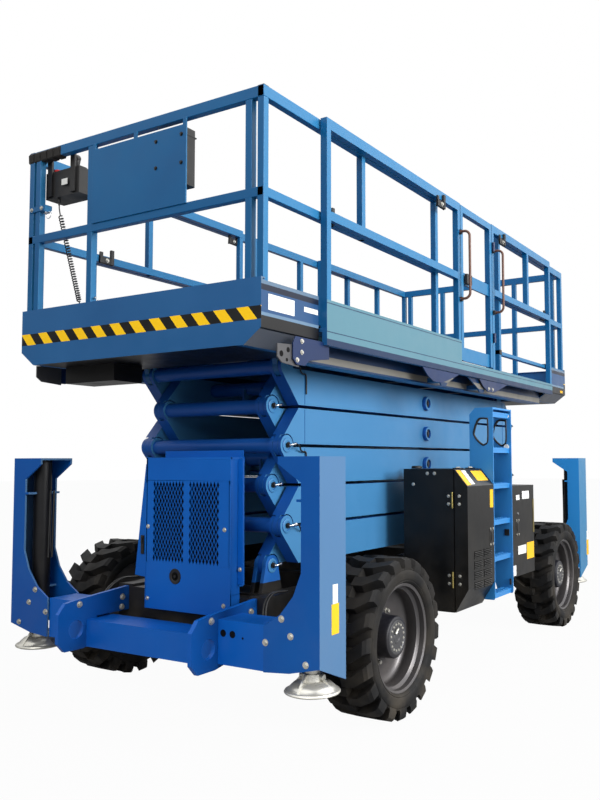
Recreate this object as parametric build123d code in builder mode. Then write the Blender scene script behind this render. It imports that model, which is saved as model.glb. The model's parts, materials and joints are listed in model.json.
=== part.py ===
"""Rough terrain scissor lift, stowed. Millimetres, +Z up, +X towards the steered front axle,
+Y towards the ladder side, origin on the ground under the middle of the machine."""

from build123d import *
from math import asin, atan2, cos, degrees, hypot, pi, radians, sin, sqrt, tan
import os

os.makedirs("parts", exist_ok=True)

# ---- Driving dimensions ---------------------------------------------------
# Wheels and axles
TYRE_RADIUS = 427.0
TYRE_WIDTH = 315.0
HALF_WHEELBASE = 1430.0
TRACK_OUTSIDE = 2278.0
RIM_RADIUS = 262.0
RIM_WALL = 12.0
AXLE_BEAM = 130.0
KINGPIN_INSET = 182.0
KINGPIN_RADIUS = 24.0
TIE_ROD_RADIUS = 16.0
TIE_EYE_HEAD = 18.0
HUB_RADIUS = 110.0
HUB_CAP_RADIUS = 88.0
HUB_FACE = 62.0
ARM_REACH = 170.0
ARM_HALF_HEIGHT = 12.0
LUG_COUNT = 16
LUG_HEIGHT = 24.0
LUG_REACH = 60.0

# Scissor stack
LEVELS = 5
BOTTOM_PIN_Z = 794.0
LEVEL_PITCH = 222.0
NEAR_PIN_X = 1675.0
FAR_PIN_X = -1775.0
ARM_WIDTH = 80.0
ARM_GAP = 18.0
OUTER_ARM_FACE = 530.0
ARM_SIDE_GAP = 20.0
BOSS_RADIUS = 58.0
BOSS_GAP = 7.0
END_BEVEL = 112.0
EAR_THICKNESS = 22.0
EAR_GAP = 2.0
PIN_RADIUS = 30.0
RUNNING_FIT = 0.05
CROSS_TUBE_RADIUS = 42.0
CENTRE_PIN_RADIUS = 35.0
ROLLER_RADIUS = 80.0
ROLLER_GAP = 1.0

# Lift cylinders
CYLINDER_BASE_REACH = 2050.0
CYLINDER_EYE_REACH = 410.0
BARREL_RADIUS = 75.0
ROD_RADIUS = 45.0
EYE_WIDTH = 60.0
EYE_RADIUS = 55.0
CYLINDER_EAR = 16.0

# Chassis
FRAME_FRONT_X = 1880.0
FRAME_REAR_X = -1880.0
FRAME_HALF_WIDTH = 545.0
FRAME_BOTTOM_Z = 440.0
FRAME_TOP_Z = 655.0
FRAME_RAIL_WIDTH = 110.0
TRACK_WALL = 8.0

# Outriggers
OUTRIGGER_END_X = 2204.0
OUTRIGGER_INNER_X = 1978.0
OUTRIGGER_SIDE_Y = 1102.0
OUTRIGGER_LIP_Y = 862.0
OUTRIGGER_COLUMN = 105.0
OUTRIGGER_TOP_Z = 1394.0
OUTRIGGER_LOW_Z = 332.0
OUTRIGGER_LOW_END_Z = 422.0
OUTRIGGER_PLATE = 12.0
BEAM_LOW_Z = 371.0
BEAM_HIGH_Z = 590.0
CENTRE_TUBE_Z = (350.0, 498.0)
LEG_RADIUS = 38.0
LEG_TUBE_RADIUS = 52.0
FOOT_RADIUS = 135.0
FOOT_LOW_Z = 280.0
LEG_STROKE = 430.0

# Platform
DECK_HALF_LENGTH = 1854.0
DECK_HALF_WIDTH = 914.0
SIDE_BAR_Z = (1969.0, 2035.0)
DECK_TOP_Z = 2060.0
TOE_TOP_Z = 2207.0
RAIL_TOP_Z = 3178.0
MID_RAIL_Z = 2658.0
RAIL_TUBE = 40.0
TOP_RAIL_HEIGHT = 58.0
EXTENSION_HALF_WIDTH = 868.0
FRONT_PANEL_X = 2346.0
FRONT_EXTENSION_REAR_X = 403.0
REAR_PANEL_X = -2385.0
REAR_EXTENSION_FRONT_X = -700.0
EXTENSION_DECK_Z = 2078.0
EXTENSION_PLATE = 8.0
PANEL_TOP_Z = 2239.0
PANEL_LOW_Z = 1921.0
PANEL_CHAMFER_Z = 1998.0
PANEL_LOW_HALF = 763.0
SIDE_CHANNEL_Y = 790.0
SIDE_CHANNEL_LOW_Z = 1885.0

# Curly cord: control box socket, ends of the coil, socket behind the front panel
CORD_RADIUS = 3.5
BEND_SHARE = 0.45
COIL_RADIUS = 15.0
CORD_TOP = (2238.0, -704.0, 2886.0)
COIL_TOP = (2240.0, -690.0, 2811.0)
COIL_LOW = (2240.0, -512.0, 2277.0)
CORD_SOCKET = (2306.0, -485.0, 2150.0)

# ---- Sizes that follow ------------------------------------------------------
level_z = [BOTTOM_PIN_Z + LEVEL_PITCH * n for n in range(LEVELS + 1)]
centre_pin_x = (NEAR_PIN_X + FAR_PIN_X) / 2
inner_arm_face = OUTER_ARM_FACE - ARM_WIDTH - ARM_SIDE_GAP
tyre_centre_y = (TRACK_OUTSIDE - TYRE_WIDTH) / 2
tyre_inner_y = tyre_centre_y - TYRE_WIDTH / 2
kingpin_y = tyre_centre_y - KINGPIN_INSET
arm_angle = atan2(LEVEL_PITCH, NEAR_PIN_X - FAR_PIN_X)


# ---- Shared shapes -----------------------------------------------------------
def bar(x, y, z, mode=Mode.ADD):
    """Adds a straight-sided bar between (low, high) limits along X, Y and Z."""
    with Locations(((x[0] + x[1]) / 2, (y[0] + y[1]) / 2, (z[0] + z[1]) / 2)):
        Box(x[1] - x[0], y[1] - y[0], z[1] - z[0], mode=mode)


def side_plate(outline, y_low, y_high, mode=Mode.ADD):
    """Extrudes an (x, z) outline between two Y positions."""
    with BuildSketch(Plane.XZ.offset(-y_high)) as profile:
        with BuildLine():
            Polyline(*outline, close=True)
        make_face()
    extrude(profile.sketch, amount=y_high - y_low, mode=mode)


def end_plate(outline, x_low, x_high, mode=Mode.ADD):
    """Extrudes a (y, z) outline between two X positions."""
    with BuildSketch(Plane.YZ.offset(x_low)) as profile:
        with BuildLine():
            Polyline(*outline, close=True)
        make_face()
    extrude(profile.sketch, amount=x_high - x_low, mode=mode)


def cross_rod(x, z, radius, y_low, y_high, mode=Mode.ADD):
    """A round bar along Y at (x, z)."""
    with BuildSketch(Plane.XZ.offset(-y_high)) as profile:
        with Locations((x, z)):
            Circle(radius)
    extrude(profile.sketch, amount=y_high - y_low, mode=mode)


def upright(x, y, radius, z_low, z_high, mode=Mode.ADD):
    """A round bar along Z at (x, y)."""
    with BuildSketch(Plane.XY.offset(z_low)) as profile:
        with Locations((x, y)):
            Circle(radius)
    extrude(profile.sketch, amount=z_high - z_low, mode=mode)


def long_rod(y, z, radius, x_low, x_high, mode=Mode.ADD):
    """A round bar along X at (y, z)."""
    with BuildSketch(Plane.YZ.offset(x_low)) as profile:
        with Locations((y, z)):
            Circle(radius)
    extrude(profile.sketch, amount=x_high - x_low, mode=mode)


def save(shape, name):
    """Labels one finished piece and writes it under its node's name."""
    shape.label = name
    export_step(shape, f"parts/{name}.step")


# ---- Scissor arms --------------------------------------------------------------
def tangent_point(pin, target, radius, turn):
    """Point on the circle about pin where a line from target touches it."""
    dx, dz = target[0] - pin[0], target[1] - pin[1]
    reach = hypot(dx, dz)
    angle = atan2(dz, dx) + turn * (pi / 2 - asin(radius / reach))
    return (pin[0] + radius * cos(angle), pin[1] + radius * sin(angle))


def arm_outline(low_z, high_z, rising):
    """Side outline of one arm: a deep bar whose ends slope back from its two pins."""
    bottom, top = low_z + ARM_GAP / 2, high_z - ARM_GAP / 2
    near_pin = (NEAR_PIN_X, low_z if rising else high_z)
    far_pin = (FAR_PIN_X, high_z if rising else low_z)
    near_heel = (NEAR_PIN_X - END_BEVEL, top if rising else bottom)
    far_heel = (FAR_PIN_X + END_BEVEL, bottom if rising else top)
    side = 1 if rising else -1
    near_tip = tangent_point(near_pin, near_heel, BOSS_RADIUS, -side)
    far_tip = tangent_point(far_pin, far_heel, BOSS_RADIUS, -side)
    near_edge = (NEAR_PIN_X, bottom if rising else top)
    far_edge = (FAR_PIN_X, top if rising else bottom)
    return [near_edge, near_tip, near_heel, far_edge, far_tip, far_heel]


def lapped_end(x, z, y_low, y_high, fork):
    """Thins an arm's end about its pin: two outer ears for a fork, one middle tongue otherwise."""
    clear = BOSS_RADIUS + BOSS_GAP
    ear = EAR_THICKNESS
    if fork:
        cross_rod(x, z, clear, y_low + ear, y_high - ear, Mode.SUBTRACT)
        return
    tongue = ear + EAR_GAP
    cross_rod(x, z, clear, y_low, y_low + tongue, Mode.SUBTRACT)
    cross_rod(x, z, clear, y_high - tongue, y_high, Mode.SUBTRACT)


def arm_pair(level, outer):
    """Left and right arm of one level, joined by the cross tube of their upper pin."""
    low_z, high_z = level_z[level - 1], level_z[level]
    rising = (level % 2 == 1) != outer
    face = OUTER_ARM_FACE if outer else inner_arm_face
    outline = arm_outline(low_z, high_z, rising)
    lower = (NEAR_PIN_X if rising else FAR_PIN_X, low_z)
    upper = (FAR_PIN_X if rising else NEAR_PIN_X, high_z)
    slides_low = outer and level == 1
    slides_high = not outer and level == LEVELS
    inner = face - ARM_WIDTH
    with BuildPart() as arms:
        for y_low, y_high in ((inner, face), (-face, -inner)):
            side_plate(outline, y_low, y_high)
            for x, z in (lower, upper):
                cross_rod(x, z, BOSS_RADIUS, y_low, y_high)
            if not slides_low:
                lapped_end(*lower, y_low, y_high, fork=False)
                cross_rod(*lower, PIN_RADIUS + RUNNING_FIT, y_low, y_high, Mode.SUBTRACT)
            if not slides_high:
                lapped_end(*upper, y_low, y_high, fork=True)
                cross_rod(*upper, PIN_RADIUS, y_low, y_high)
        cross_rod(*upper, CROSS_TUBE_RADIUS, -inner, inner)
        if slides_low:
            cross_rod(*lower, CROSS_TUBE_RADIUS, -inner, inner)
        mid_z = (low_z + high_z) / 2
        reach = ARM_WIDTH + ARM_SIDE_GAP
        for side in (1, -1):
            if outer:
                ends = sorted((side * (inner + 1), side * (face - reach - ARM_WIDTH + 4)))
                cross_rod(centre_pin_x, mid_z, CENTRE_PIN_RADIUS, *ends)
                washer = sorted((side * (inner + 1), side * (inner - ARM_SIDE_GAP + EAR_GAP)))
                cross_rod(centre_pin_x, mid_z, CENTRE_PIN_RADIUS + 25, *washer)
            else:
                ends = sorted((side * inner, side * face))
                bore = CENTRE_PIN_RADIUS + RUNNING_FIT
                cross_rod(centre_pin_x, mid_z, bore, *ends, Mode.SUBTRACT)
        for x, z, slides in ((*lower, slides_low), (*upper, slides_high)):
            if slides:
                for side in (1, -1):
                    ends = sorted((side * (inner + EAR_THICKNESS), side * (face - EAR_THICKNESS)))
                    cross_rod(x, z, ROLLER_RADIUS, *ends)
        if not outer and level % 2 == 0:
            base = along(level, CYLINDER_BASE_REACH)
            cross_rod(*base, CROSS_TUBE_RADIUS, -inner - 1, inner + 1)
            cross_rod(*base, BARREL_RADIUS + 30, -EYE_WIDTH, EYE_WIDTH, Mode.SUBTRACT)
            for side in (1, -1):
                ends = sorted((side * EYE_WIDTH, side * (EYE_WIDTH + CYLINDER_EAR)))
                cross_rod(*base, BARREL_RADIUS, *ends)
            cross_rod(*base, PIN_RADIUS, -EYE_WIDTH - 1, EYE_WIDTH + 1)
        if not outer and level % 2 == 1 and level > 1:
            eye = along(level, CYLINDER_EYE_REACH)
            beam = (eye[0], high_z - 75)
            cross_rod(*beam, CROSS_TUBE_RADIUS, -inner - 1, inner + 1)
            for side in (1, -1):
                ends = sorted((side * EYE_WIDTH, side * (EYE_WIDTH + CYLINDER_EAR)))
                side_plate([(eye[0] - 60, beam[1]), (eye[0] + 60, beam[1]), (eye[0] + 45, eye[1] - 40),
                            (eye[0] - 45, eye[1] - 40)], *ends)
    return arms.part


def along(level, reach):
    """Point on a level's inner arm, reach away from its near pin along the pin line."""
    low_z, high_z = level_z[level - 1], level_z[level]
    near_z = low_z if level % 2 == 1 else high_z
    slope = arm_angle if level % 2 == 1 else -arm_angle
    return (NEAR_PIN_X - reach * cos(slope), near_z + reach * sin(slope))


for level in range(1, LEVELS + 1):
    save(arm_pair(level, outer=False), f"arm_inner_{level}")
    save(arm_pair(level, outer=True), f"arm_outer_{level}")


# ---- Lift cylinders -----------------------------------------------------------
def lift_cylinder(lower_level):
    """Barrel hinged on the lower arms and rod reaching for the arms above, stowed."""
    base = along(lower_level, CYLINDER_BASE_REACH)
    eye = along(lower_level + 1, CYLINDER_EYE_REACH)
    length = hypot(eye[0] - base[0], eye[1] - base[1])
    tilt = atan2(eye[1] - base[1], eye[0] - base[0])
    axis = Plane(origin=(base[0], 0, base[1]), x_dir=(0, 1, 0), z_dir=(cos(tilt), 0, sin(tilt)))
    barrel_end = length - EYE_RADIUS - 60
    rod_start = barrel_end - 880
    with BuildPart() as barrel:
        with BuildSketch(axis):
            Circle(ROD_RADIUS + 8)
        extrude(amount=barrel_end)
        with BuildSketch(axis.offset(BARREL_RADIUS + 15)):
            Circle(BARREL_RADIUS)
        extrude(amount=barrel_end - BARREL_RADIUS - 15)
        with BuildSketch(axis.offset(barrel_end - 70)):
            Circle(BARREL_RADIUS + 8)
        extrude(amount=70)
        cross_rod(*base, EYE_RADIUS, -EYE_WIDTH + 3, EYE_WIDTH - 3)
        cross_rod(*base, PIN_RADIUS + RUNNING_FIT, -EYE_WIDTH, EYE_WIDTH, Mode.SUBTRACT)
        with BuildSketch(axis.offset(rod_start - 20)):
            Circle(ROD_RADIUS + RUNNING_FIT)
        extrude(amount=barrel_end - rod_start + 40, mode=Mode.SUBTRACT)
    with BuildPart() as rod:
        with BuildSketch(axis.offset(rod_start)):
            Circle(ROD_RADIUS)
        extrude(amount=length - rod_start - EYE_RADIUS + 10)
        cross_rod(*eye, EYE_RADIUS, -EYE_WIDTH + 6, EYE_WIDTH - 6)
        cross_rod(*eye, PIN_RADIUS, -EYE_WIDTH, EYE_WIDTH, Mode.SUBTRACT)
    return barrel.part, rod.part


for place, lower_level in (("lower", 2), ("upper", 4)):
    barrel_part, rod_part = lift_cylinder(lower_level)
    save(barrel_part, f"lift_barrel_{place}")
    save(rod_part, f"lift_rod_{place}")


# ---- Wheels, axles and steering --------------------------------------------------
def tread_lug(sign):
    """One tapered tread lug on top of the wheel, slanting from the shoulder to past the crown."""
    half = TYRE_WIDTH / 2
    root = TYRE_RADIUS - LUG_HEIGHT - 20
    top = sqrt(TYRE_RADIUS**2 - LUG_REACH**2)
    # Corner rows of each face: X, distance from the middle plane
    root_rows = ((-66, half - 2), (-30, half - 2), (34, -4), (4, -4))
    top_rows = ((-LUG_REACH, half - 24), (-38, half - 24), (28, -2), (8, -2))
    with BuildPart() as lug:
        for rows, z in ((root_rows, root), (top_rows, top)):
            with BuildSketch(Plane.XY.offset(z)):
                with BuildLine():
                    Polyline(*[(x, sign * y) for x, y in rows], close=True)
                make_face()
        loft()
    return lug.part


with BuildPart() as tyre:
    half = TYRE_WIDTH / 2
    # Section rows: distance from the middle plane, radius
    section = ((half - 30, RIM_RADIUS), (half, TYRE_RADIUS - 105), (half - 40, TYRE_RADIUS - LUG_HEIGHT))
    with BuildSketch(Plane.YZ):
        with BuildLine():
            Polyline(*[(-w, r) for w, r in section], *[(w, r) for w, r in reversed(section)], close=True)
        make_face()
    revolve(axis=Axis.Y)
    first = degrees(asin(LUG_REACH / TYRE_RADIUS))
    for row, sign in ((0, 1), (1, -1)):
        lug = tread_lug(sign)
        for n in range(LUG_COUNT):
            add(Rotation(0, first + 360 * (n + row / 2) / LUG_COUNT, 0) * lug)

with BuildPart() as rim:
    edge = TYRE_WIDTH / 2 - 30.3
    bead = RIM_RADIUS - 0.3
    hub = kingpin_y + HUB_FACE - tyre_centre_y
    # Section rows: distance out from the wheel's middle plane, radius
    section = ((hub, 0), (hub, HUB_RADIUS), (-26, HUB_RADIUS), (-26, RIM_RADIUS - 40), (-edge, RIM_RADIUS - RIM_WALL),
               (-edge, bead), (edge, bead), (edge, RIM_RADIUS - RIM_WALL), (10, RIM_RADIUS - 62),
               (10, HUB_CAP_RADIUS + 30), (30, HUB_CAP_RADIUS), (edge - 20, HUB_CAP_RADIUS - 12), (edge - 20, 0))
    with BuildSketch(Plane.YZ):
        with BuildLine():
            Polyline(*section, close=True)
        make_face()
    revolve(axis=Axis.Y)

# name, end of the machine along X, side along Y
WHEELS = (("front_left", 1, 1), ("front_right", 1, -1), ("rear_left", -1, 1), ("rear_right", -1, -1))
for name, end, side in WHEELS:
    seat = Location((end * HALF_WHEELBASE, side * tyre_centre_y, TYRE_RADIUS))
    turned = Rotation(0, 0, 0 if side > 0 else 180)
    save(seat * turned * tyre.part, f"tyre_{name}")
    save(seat * turned * rim.part, f"rim_{name}")

hub_face = kingpin_y + HUB_FACE
fork_half = 70.0
fork_plate = 26.0
fork_root = kingpin_y - 140
with BuildPart() as front_axle:
    z, half = TYRE_RADIUS, AXLE_BEAM / 2
    bar((HALF_WHEELBASE - half, HALF_WHEELBASE + half), (-fork_root - 45, fork_root + 45), (z - half, z + half))
    for side in (1, -1):
        for low in (fork_half, -fork_half - fork_plate):
            bar((HALF_WHEELBASE - 55, HALF_WHEELBASE + 55), sorted((side * fork_root, side * kingpin_y)),
                (z + low, z + low + fork_plate))
            upright(HALF_WHEELBASE, side * kingpin_y, 55, z + low, z + low + fork_plate)
        bar((HALF_WHEELBASE - 55, HALF_WHEELBASE + 55), sorted((side * fork_root, side * (fork_root + 45))),
            (z - fork_half - fork_plate, z + fork_half + fork_plate))
        upright(HALF_WHEELBASE, side * kingpin_y, KINGPIN_RADIUS, z - fork_half - 5, z + fork_half + 5)
    for y in (-190, 190):
        bar((HALF_WHEELBASE - half - 14, HALF_WHEELBASE + half + 14), (y - 40, y + 40), (z - half - 10, z - half))
        bar((HALF_WHEELBASE - half - 14, HALF_WHEELBASE + half + 14), (y - 40, y + 40), (z + half, z + half + 24))
save(front_axle.part, "front_axle")

for side, name in ((1, "left"), (-1, "right")):
    with BuildPart() as knuckle:
        z, gap = TYRE_RADIUS, 3.0
        upright(HALF_WHEELBASE, side * kingpin_y, 50, z - fork_half + gap, z + fork_half - gap)
        cross_rod(HALF_WHEELBASE, z, 60, *sorted((side * kingpin_y, side * (hub_face - 0.5))))
        arm_z = (z - ARM_HALF_HEIGHT, z + ARM_HALF_HEIGHT)
        arm_y = sorted((side * (kingpin_y - 20), side * (kingpin_y + 20)))
        bar((HALF_WHEELBASE - ARM_REACH, HALF_WHEELBASE), arm_y, arm_z)
        upright(HALF_WHEELBASE - ARM_REACH, side * kingpin_y, 30, *arm_z)
        upright(HALF_WHEELBASE, side * kingpin_y, KINGPIN_RADIUS + RUNNING_FIT, z - 80, z + 80, Mode.SUBTRACT)
    save(knuckle.part, f"knuckle_{name}")

# The tie rod lies over the knuckles' arms, behind the axle
tie_x = HALF_WHEELBASE - ARM_REACH
tie_z = TYRE_RADIUS + ARM_HALF_HEIGHT + 2
with BuildPart() as tie_rod:
    cross_rod(tie_x, tie_z + 18, TIE_ROD_RADIUS, -kingpin_y, kingpin_y)
    for side in (1, -1):
        upright(tie_x, side * kingpin_y, TIE_EYE_HEAD, tie_z, tie_z + 36)
save(tie_rod.part, "tie_rod")

with BuildPart() as rear_axle:
    half = AXLE_BEAM / 2
    bar((-HALF_WHEELBASE - half, -HALF_WHEELBASE + half), (-fork_root, fork_root),
        (TYRE_RADIUS - half, TYRE_RADIUS + half))
    cross_rod(-HALF_WHEELBASE, TYRE_RADIUS, 80, -hub_face + 0.5, hub_face - 0.5)
save(rear_axle.part, "rear_axle")

# ---- Chassis --------------------------------------------------------------------
rail_inner = FRAME_HALF_WIDTH - FRAME_RAIL_WIDTH
lap = EAR_THICKNESS + EAR_GAP
inner_arm_inside = inner_arm_face - ARM_WIDTH
with BuildPart() as chassis:
    for side in (1, -1):
        rail = sorted((side * rail_inner, side * FRAME_HALF_WIDTH))
        bar((FRAME_REAR_X, FRAME_FRONT_X), rail, (FRAME_BOTTOM_Z, FRAME_TOP_Z))
        for end in (1, -1):
            bar((end * HALF_WHEELBASE - 90, end * HALF_WHEELBASE + 90), rail,
                (FRAME_BOTTOM_Z, TYRE_RADIUS + fork_half + fork_plate), Mode.SUBTRACT)
        bar((tie_x - 45, tie_x + 45), rail, (FRAME_BOTTOM_Z, tie_z + 55), Mode.SUBTRACT)
    for x_low, x_high in ((FRAME_REAR_X, FRAME_REAR_X + 90), (-900, -780), (-60, 60), (780, 900),
                          (FRAME_FRONT_X - 90, FRAME_FRONT_X)):
        bar((x_low, x_high), (-rail_inner, rail_inner), (FRAME_BOTTOM_Z + 20, FRAME_TOP_Z - 15))
    bar((1540, 1790), (-rail_inner, rail_inner), (FRAME_TOP_Z - 45, FRAME_TOP_Z - 5))
    for side in (1, -1):
        for low, high in ((0, EAR_THICKNESS), (ARM_WIDTH - EAR_THICKNESS, ARM_WIDTH)):
            y = sorted((side * (inner_arm_inside + low), side * (inner_arm_inside + high)))
            side_plate([(NEAR_PIN_X - 95, FRAME_TOP_Z - 10), (NEAR_PIN_X + 95, FRAME_TOP_Z - 10),
                        (NEAR_PIN_X + 56, BOTTOM_PIN_Z), (NEAR_PIN_X - 56, BOTTOM_PIN_Z)], *y)
            cross_rod(NEAR_PIN_X, BOTTOM_PIN_Z, BOSS_RADIUS, *y)
        pin_y = sorted((side * inner_arm_inside, side * inner_arm_face))
        cross_rod(NEAR_PIN_X, BOTTOM_PIN_Z, PIN_RADIUS, *pin_y)
save(chassis.part, "chassis_frame")

track_top = BOTTOM_PIN_Z - ROLLER_RADIUS - ROLLER_GAP
track_outer = OUTER_ARM_FACE + 15
with BuildPart() as tracks:
    for side in (1, -1):
        bar((FAR_PIN_X - 110, 240), sorted((side * rail_inner, side * track_outer)), (FRAME_TOP_Z, track_top))
        bar((FAR_PIN_X - 110, 240), sorted((side * (track_outer - TRACK_WALL), side * track_outer)),
            (track_top, track_top + 42))
save(tracks.part, "slide_tracks")

# ---- Outriggers --------------------------------------------------------------------
column_y = OUTRIGGER_SIDE_Y - OUTRIGGER_COLUMN
foot_x = (OUTRIGGER_END_X + OUTRIGGER_INNER_X) / 2
foot_y = column_y - 12
beam_end = 776.0
plate_end = 780.0
TIE_PLATE_Y = 475.0
TIE_PLATE_THICKNESS = 25.0
TIE_EYE = (2262.0, 455.0)
TIE_EYE_RADIUS = 50.0
BEAM_WALL = 12.0
# Tie-down bracket rows: X, Z. The nose holds the eye, and the tail is bolted to the frame
TIE_BRACKET = ((FRAME_FRONT_X, 508), (2120, 508), (2120, 362), (2210, 345), (2335, 345), (2381, 395), (2381, 550),
               (2335, 604), (2250, 615), (FRAME_FRONT_X, 645))
bracket_y = (TIE_PLATE_Y - TIE_PLATE_THICKNESS / 2, TIE_PLATE_Y + TIE_PLATE_THICKNESS / 2)
for end, name in ((1, "front"), (-1, "rear")):
    with BuildPart() as beam:
        x_in, x_out = OUTRIGGER_INNER_X + 20, OUTRIGGER_END_X - 14
        # Rows: Y of one end of a box, Y of its other end, lowest and highest Z
        boxes = ((-bracket_y[0], bracket_y[0], *CENTRE_TUBE_Z), (bracket_y[1], beam_end, BEAM_LOW_Z, BEAM_HIGH_Z),
                 (-beam_end, -bracket_y[1], BEAM_LOW_Z, BEAM_HIGH_Z))
        for y_low, y_high, low, high in boxes:
            bar(sorted((end * x_in, end * x_out)), (y_low, y_high), (low, high))
        for y_low, y_high, low, high in boxes:
            bar(sorted((end * (x_in + BEAM_WALL), end * (x_out - BEAM_WALL))), (y_low, y_high),
                (low + BEAM_WALL, high - BEAM_WALL), Mode.SUBTRACT)
        for side in (1, -1):
            y = sorted((side * bracket_y[0], side * bracket_y[1]))
            side_plate([(end * x, z) for x, z in TIE_BRACKET], *y)
            cross_rod(end * TIE_EYE[0], TIE_EYE[1], TIE_EYE_RADIUS, *y, Mode.SUBTRACT)
    save(beam.part, f"{name}_beam")

# Column plate rows: Y, Z
COLUMN_PLATE = ((OUTRIGGER_SIDE_Y, OUTRIGGER_TOP_Z), (OUTRIGGER_LIP_Y, OUTRIGGER_TOP_Z),
                (OUTRIGGER_LIP_Y, OUTRIGGER_TOP_Z - 35), (column_y, 1270), (column_y, 850), (column_y - 45, 740),
                (column_y - 120, 650), (plate_end, BEAM_HIGH_Z), (plate_end, BEAM_LOW_Z),
                (plate_end + 150, BEAM_LOW_Z + 12), (OUTRIGGER_SIDE_Y, OUTRIGGER_LOW_END_Z))


with BuildPart() as housing:
    for x_low, x_high in ((OUTRIGGER_INNER_X, OUTRIGGER_INNER_X + OUTRIGGER_PLATE),
                          (OUTRIGGER_END_X - OUTRIGGER_PLATE, OUTRIGGER_END_X)):
        end_plate(COLUMN_PLATE, x_low, x_high)
    side_plate([(OUTRIGGER_INNER_X, OUTRIGGER_TOP_Z), (OUTRIGGER_END_X, OUTRIGGER_TOP_Z),
                (OUTRIGGER_END_X, OUTRIGGER_LOW_END_Z), (OUTRIGGER_INNER_X, OUTRIGGER_LOW_Z)],
               OUTRIGGER_SIDE_Y - OUTRIGGER_PLATE, OUTRIGGER_SIDE_Y)
    bar((OUTRIGGER_INNER_X, OUTRIGGER_END_X), (OUTRIGGER_LIP_Y, OUTRIGGER_SIDE_Y),
        (OUTRIGGER_TOP_Z - OUTRIGGER_PLATE, OUTRIGGER_TOP_Z))
    upright(foot_x, foot_y, LEG_TUBE_RADIUS, 520, OUTRIGGER_TOP_Z - OUTRIGGER_PLATE)
    for z in (620, 1180):
        bar((OUTRIGGER_INNER_X + 1, OUTRIGGER_END_X - 1), (foot_y - 15, OUTRIGGER_SIDE_Y - 1), (z, z + 12))
    upright(foot_x, foot_y, LEG_RADIUS + RUNNING_FIT, 500, OUTRIGGER_TOP_Z - 40, Mode.SUBTRACT)

with BuildPart() as leg:
    upright(foot_x, foot_y, LEG_RADIUS, FOOT_LOW_Z + 30, 1100)
    # Foot rows: radius, height above the sole
    foot_rows = ((0, 0), (FOOT_RADIUS - 12, 0), (FOOT_RADIUS, 8), (FOOT_RADIUS - 20, 22), (55, 48), (50, 92), (0, 92))
    with BuildSketch(Plane.XZ.offset(-foot_y)):
        with BuildLine():
            Polyline(*[(foot_x + r, FOOT_LOW_Z + h) for r, h in foot_rows], close=True)
        make_face()
    revolve(axis=Axis((foot_x, foot_y, 0), (0, 0, 1)))


def at_corner(shape, end, side):
    """The front left shape as it stands at the given corner of the machine."""
    if end < 0:
        shape = shape.mirror(Plane.YZ)
    if side < 0:
        shape = shape.mirror(Plane.XZ)
    return shape


for name, end, side in WHEELS:
    save(at_corner(housing.part, end, side), f"outrigger_{name}")
    save(at_corner(leg.part, end, side), f"leg_{name}")

# ---- Front cover ----------------------------------------------------------------------
COVER_Y = (-250.0, 372.0)
COVER_X = (1900.0, 1963.0)
COVER_Z = (547.0, 1394.0)
COVER_WALL = 12.0
GRILLE_Y = ((-197.0, 41.0), (73.0, 295.0))
GRILLE_Z = (808.0, 1266.0)
with BuildPart() as cover:
    back_x, front_x = COVER_X
    low, high = COVER_Z
    foot_x_low = FRAME_FRONT_X + 2
    side_plate([(foot_x_low, low), (front_x, low), (front_x, 1250), (back_x, high), (1850, high), (1850, 700),
                (foot_x_low, 660)], *COVER_Y)
    bar((1840, back_x), (COVER_Y[0] + COVER_WALL, COVER_Y[1] - COVER_WALL), (500, 1300), Mode.SUBTRACT)
    for y_low, y_high in GRILLE_Y:
        bar((front_x - 30, front_x + 1), (y_low, y_high), GRILLE_Z, Mode.SUBTRACT)
    long_rod(-21, 737, 40, front_x - 20, front_x + 1, Mode.SUBTRACT)
    # Wings beside the panel. Rows: Y, Z
    for wing in (((-240, 700), (-397, 715), (-318, 1357), (-240, 1380)),
                 ((362, 713), (408, 713), (404, 1384), (362, 1384))):
        end_plate(wing, back_x - COVER_WALL, back_x)
    bar((FRAME_FRONT_X, back_x + 1), (-60, 60), (low, FRAME_TOP_Z - 20))
save(cover.part, "front_cover")

# ---- Side compartments and ladder ------------------------------------------------------
BAY_INNER_Y = 677.0
BAY_DOOR_Y = 1040.0
BAY_OUTER_Y = 1130.0
BAY_Z = (417.0, 1320.0)
LEFT_BAY_X = (138.0, 574.0)
RIGHT_BAY_X = (-640.0, 574.0)
REAR_BAY_X = (-725.0, -235.0)
REAR_BAY_Z = (538.0, 1188.0)
LADDER_X = (-215.0, 135.0)
BAY_WALL = 6.0
DOOR_GAP = 6.0


def bay(x, side, y_in, y_out, z, arm_x):
    """Compartment box open towards its door, carried on two arms from the frame."""
    wall = BAY_WALL
    with BuildPart() as box:
        bar(x, sorted((side * y_in, side * y_out)), z)
        bar((x[0] + wall, x[1] - wall), sorted((side * (y_in + wall), side * (y_out + 1))), (z[0] + wall, z[1] - wall),
            Mode.SUBTRACT)
        for arm in arm_x:
            bar((arm, arm + 80), sorted((side * FRAME_HALF_WIDTH, side * (y_in + 1))), (545, 640))
    return box.part


def sloped_door(x, side, z):
    """Side door pressed outwards with sloped top and bottom, a shell open inwards."""
    low, high = z
    wall = 4.0
    outer = [(BAY_DOOR_Y, low), (BAY_OUTER_Y, low + 150), (BAY_OUTER_Y, high - 110), (BAY_DOOR_Y, high)]
    inner = [(BAY_DOOR_Y - 1, low + 8), (BAY_OUTER_Y - wall, low + 153), (BAY_OUTER_Y - wall, high - 113),
             (BAY_DOOR_Y - 1, high - 7)]
    with BuildPart() as door:
        end_plate([(side * y, h) for y, h in outer], *x)
        end_plate([(side * y, h) for y, h in inner], x[0] + wall, x[1] - wall, Mode.SUBTRACT)
    return door.part


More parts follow.
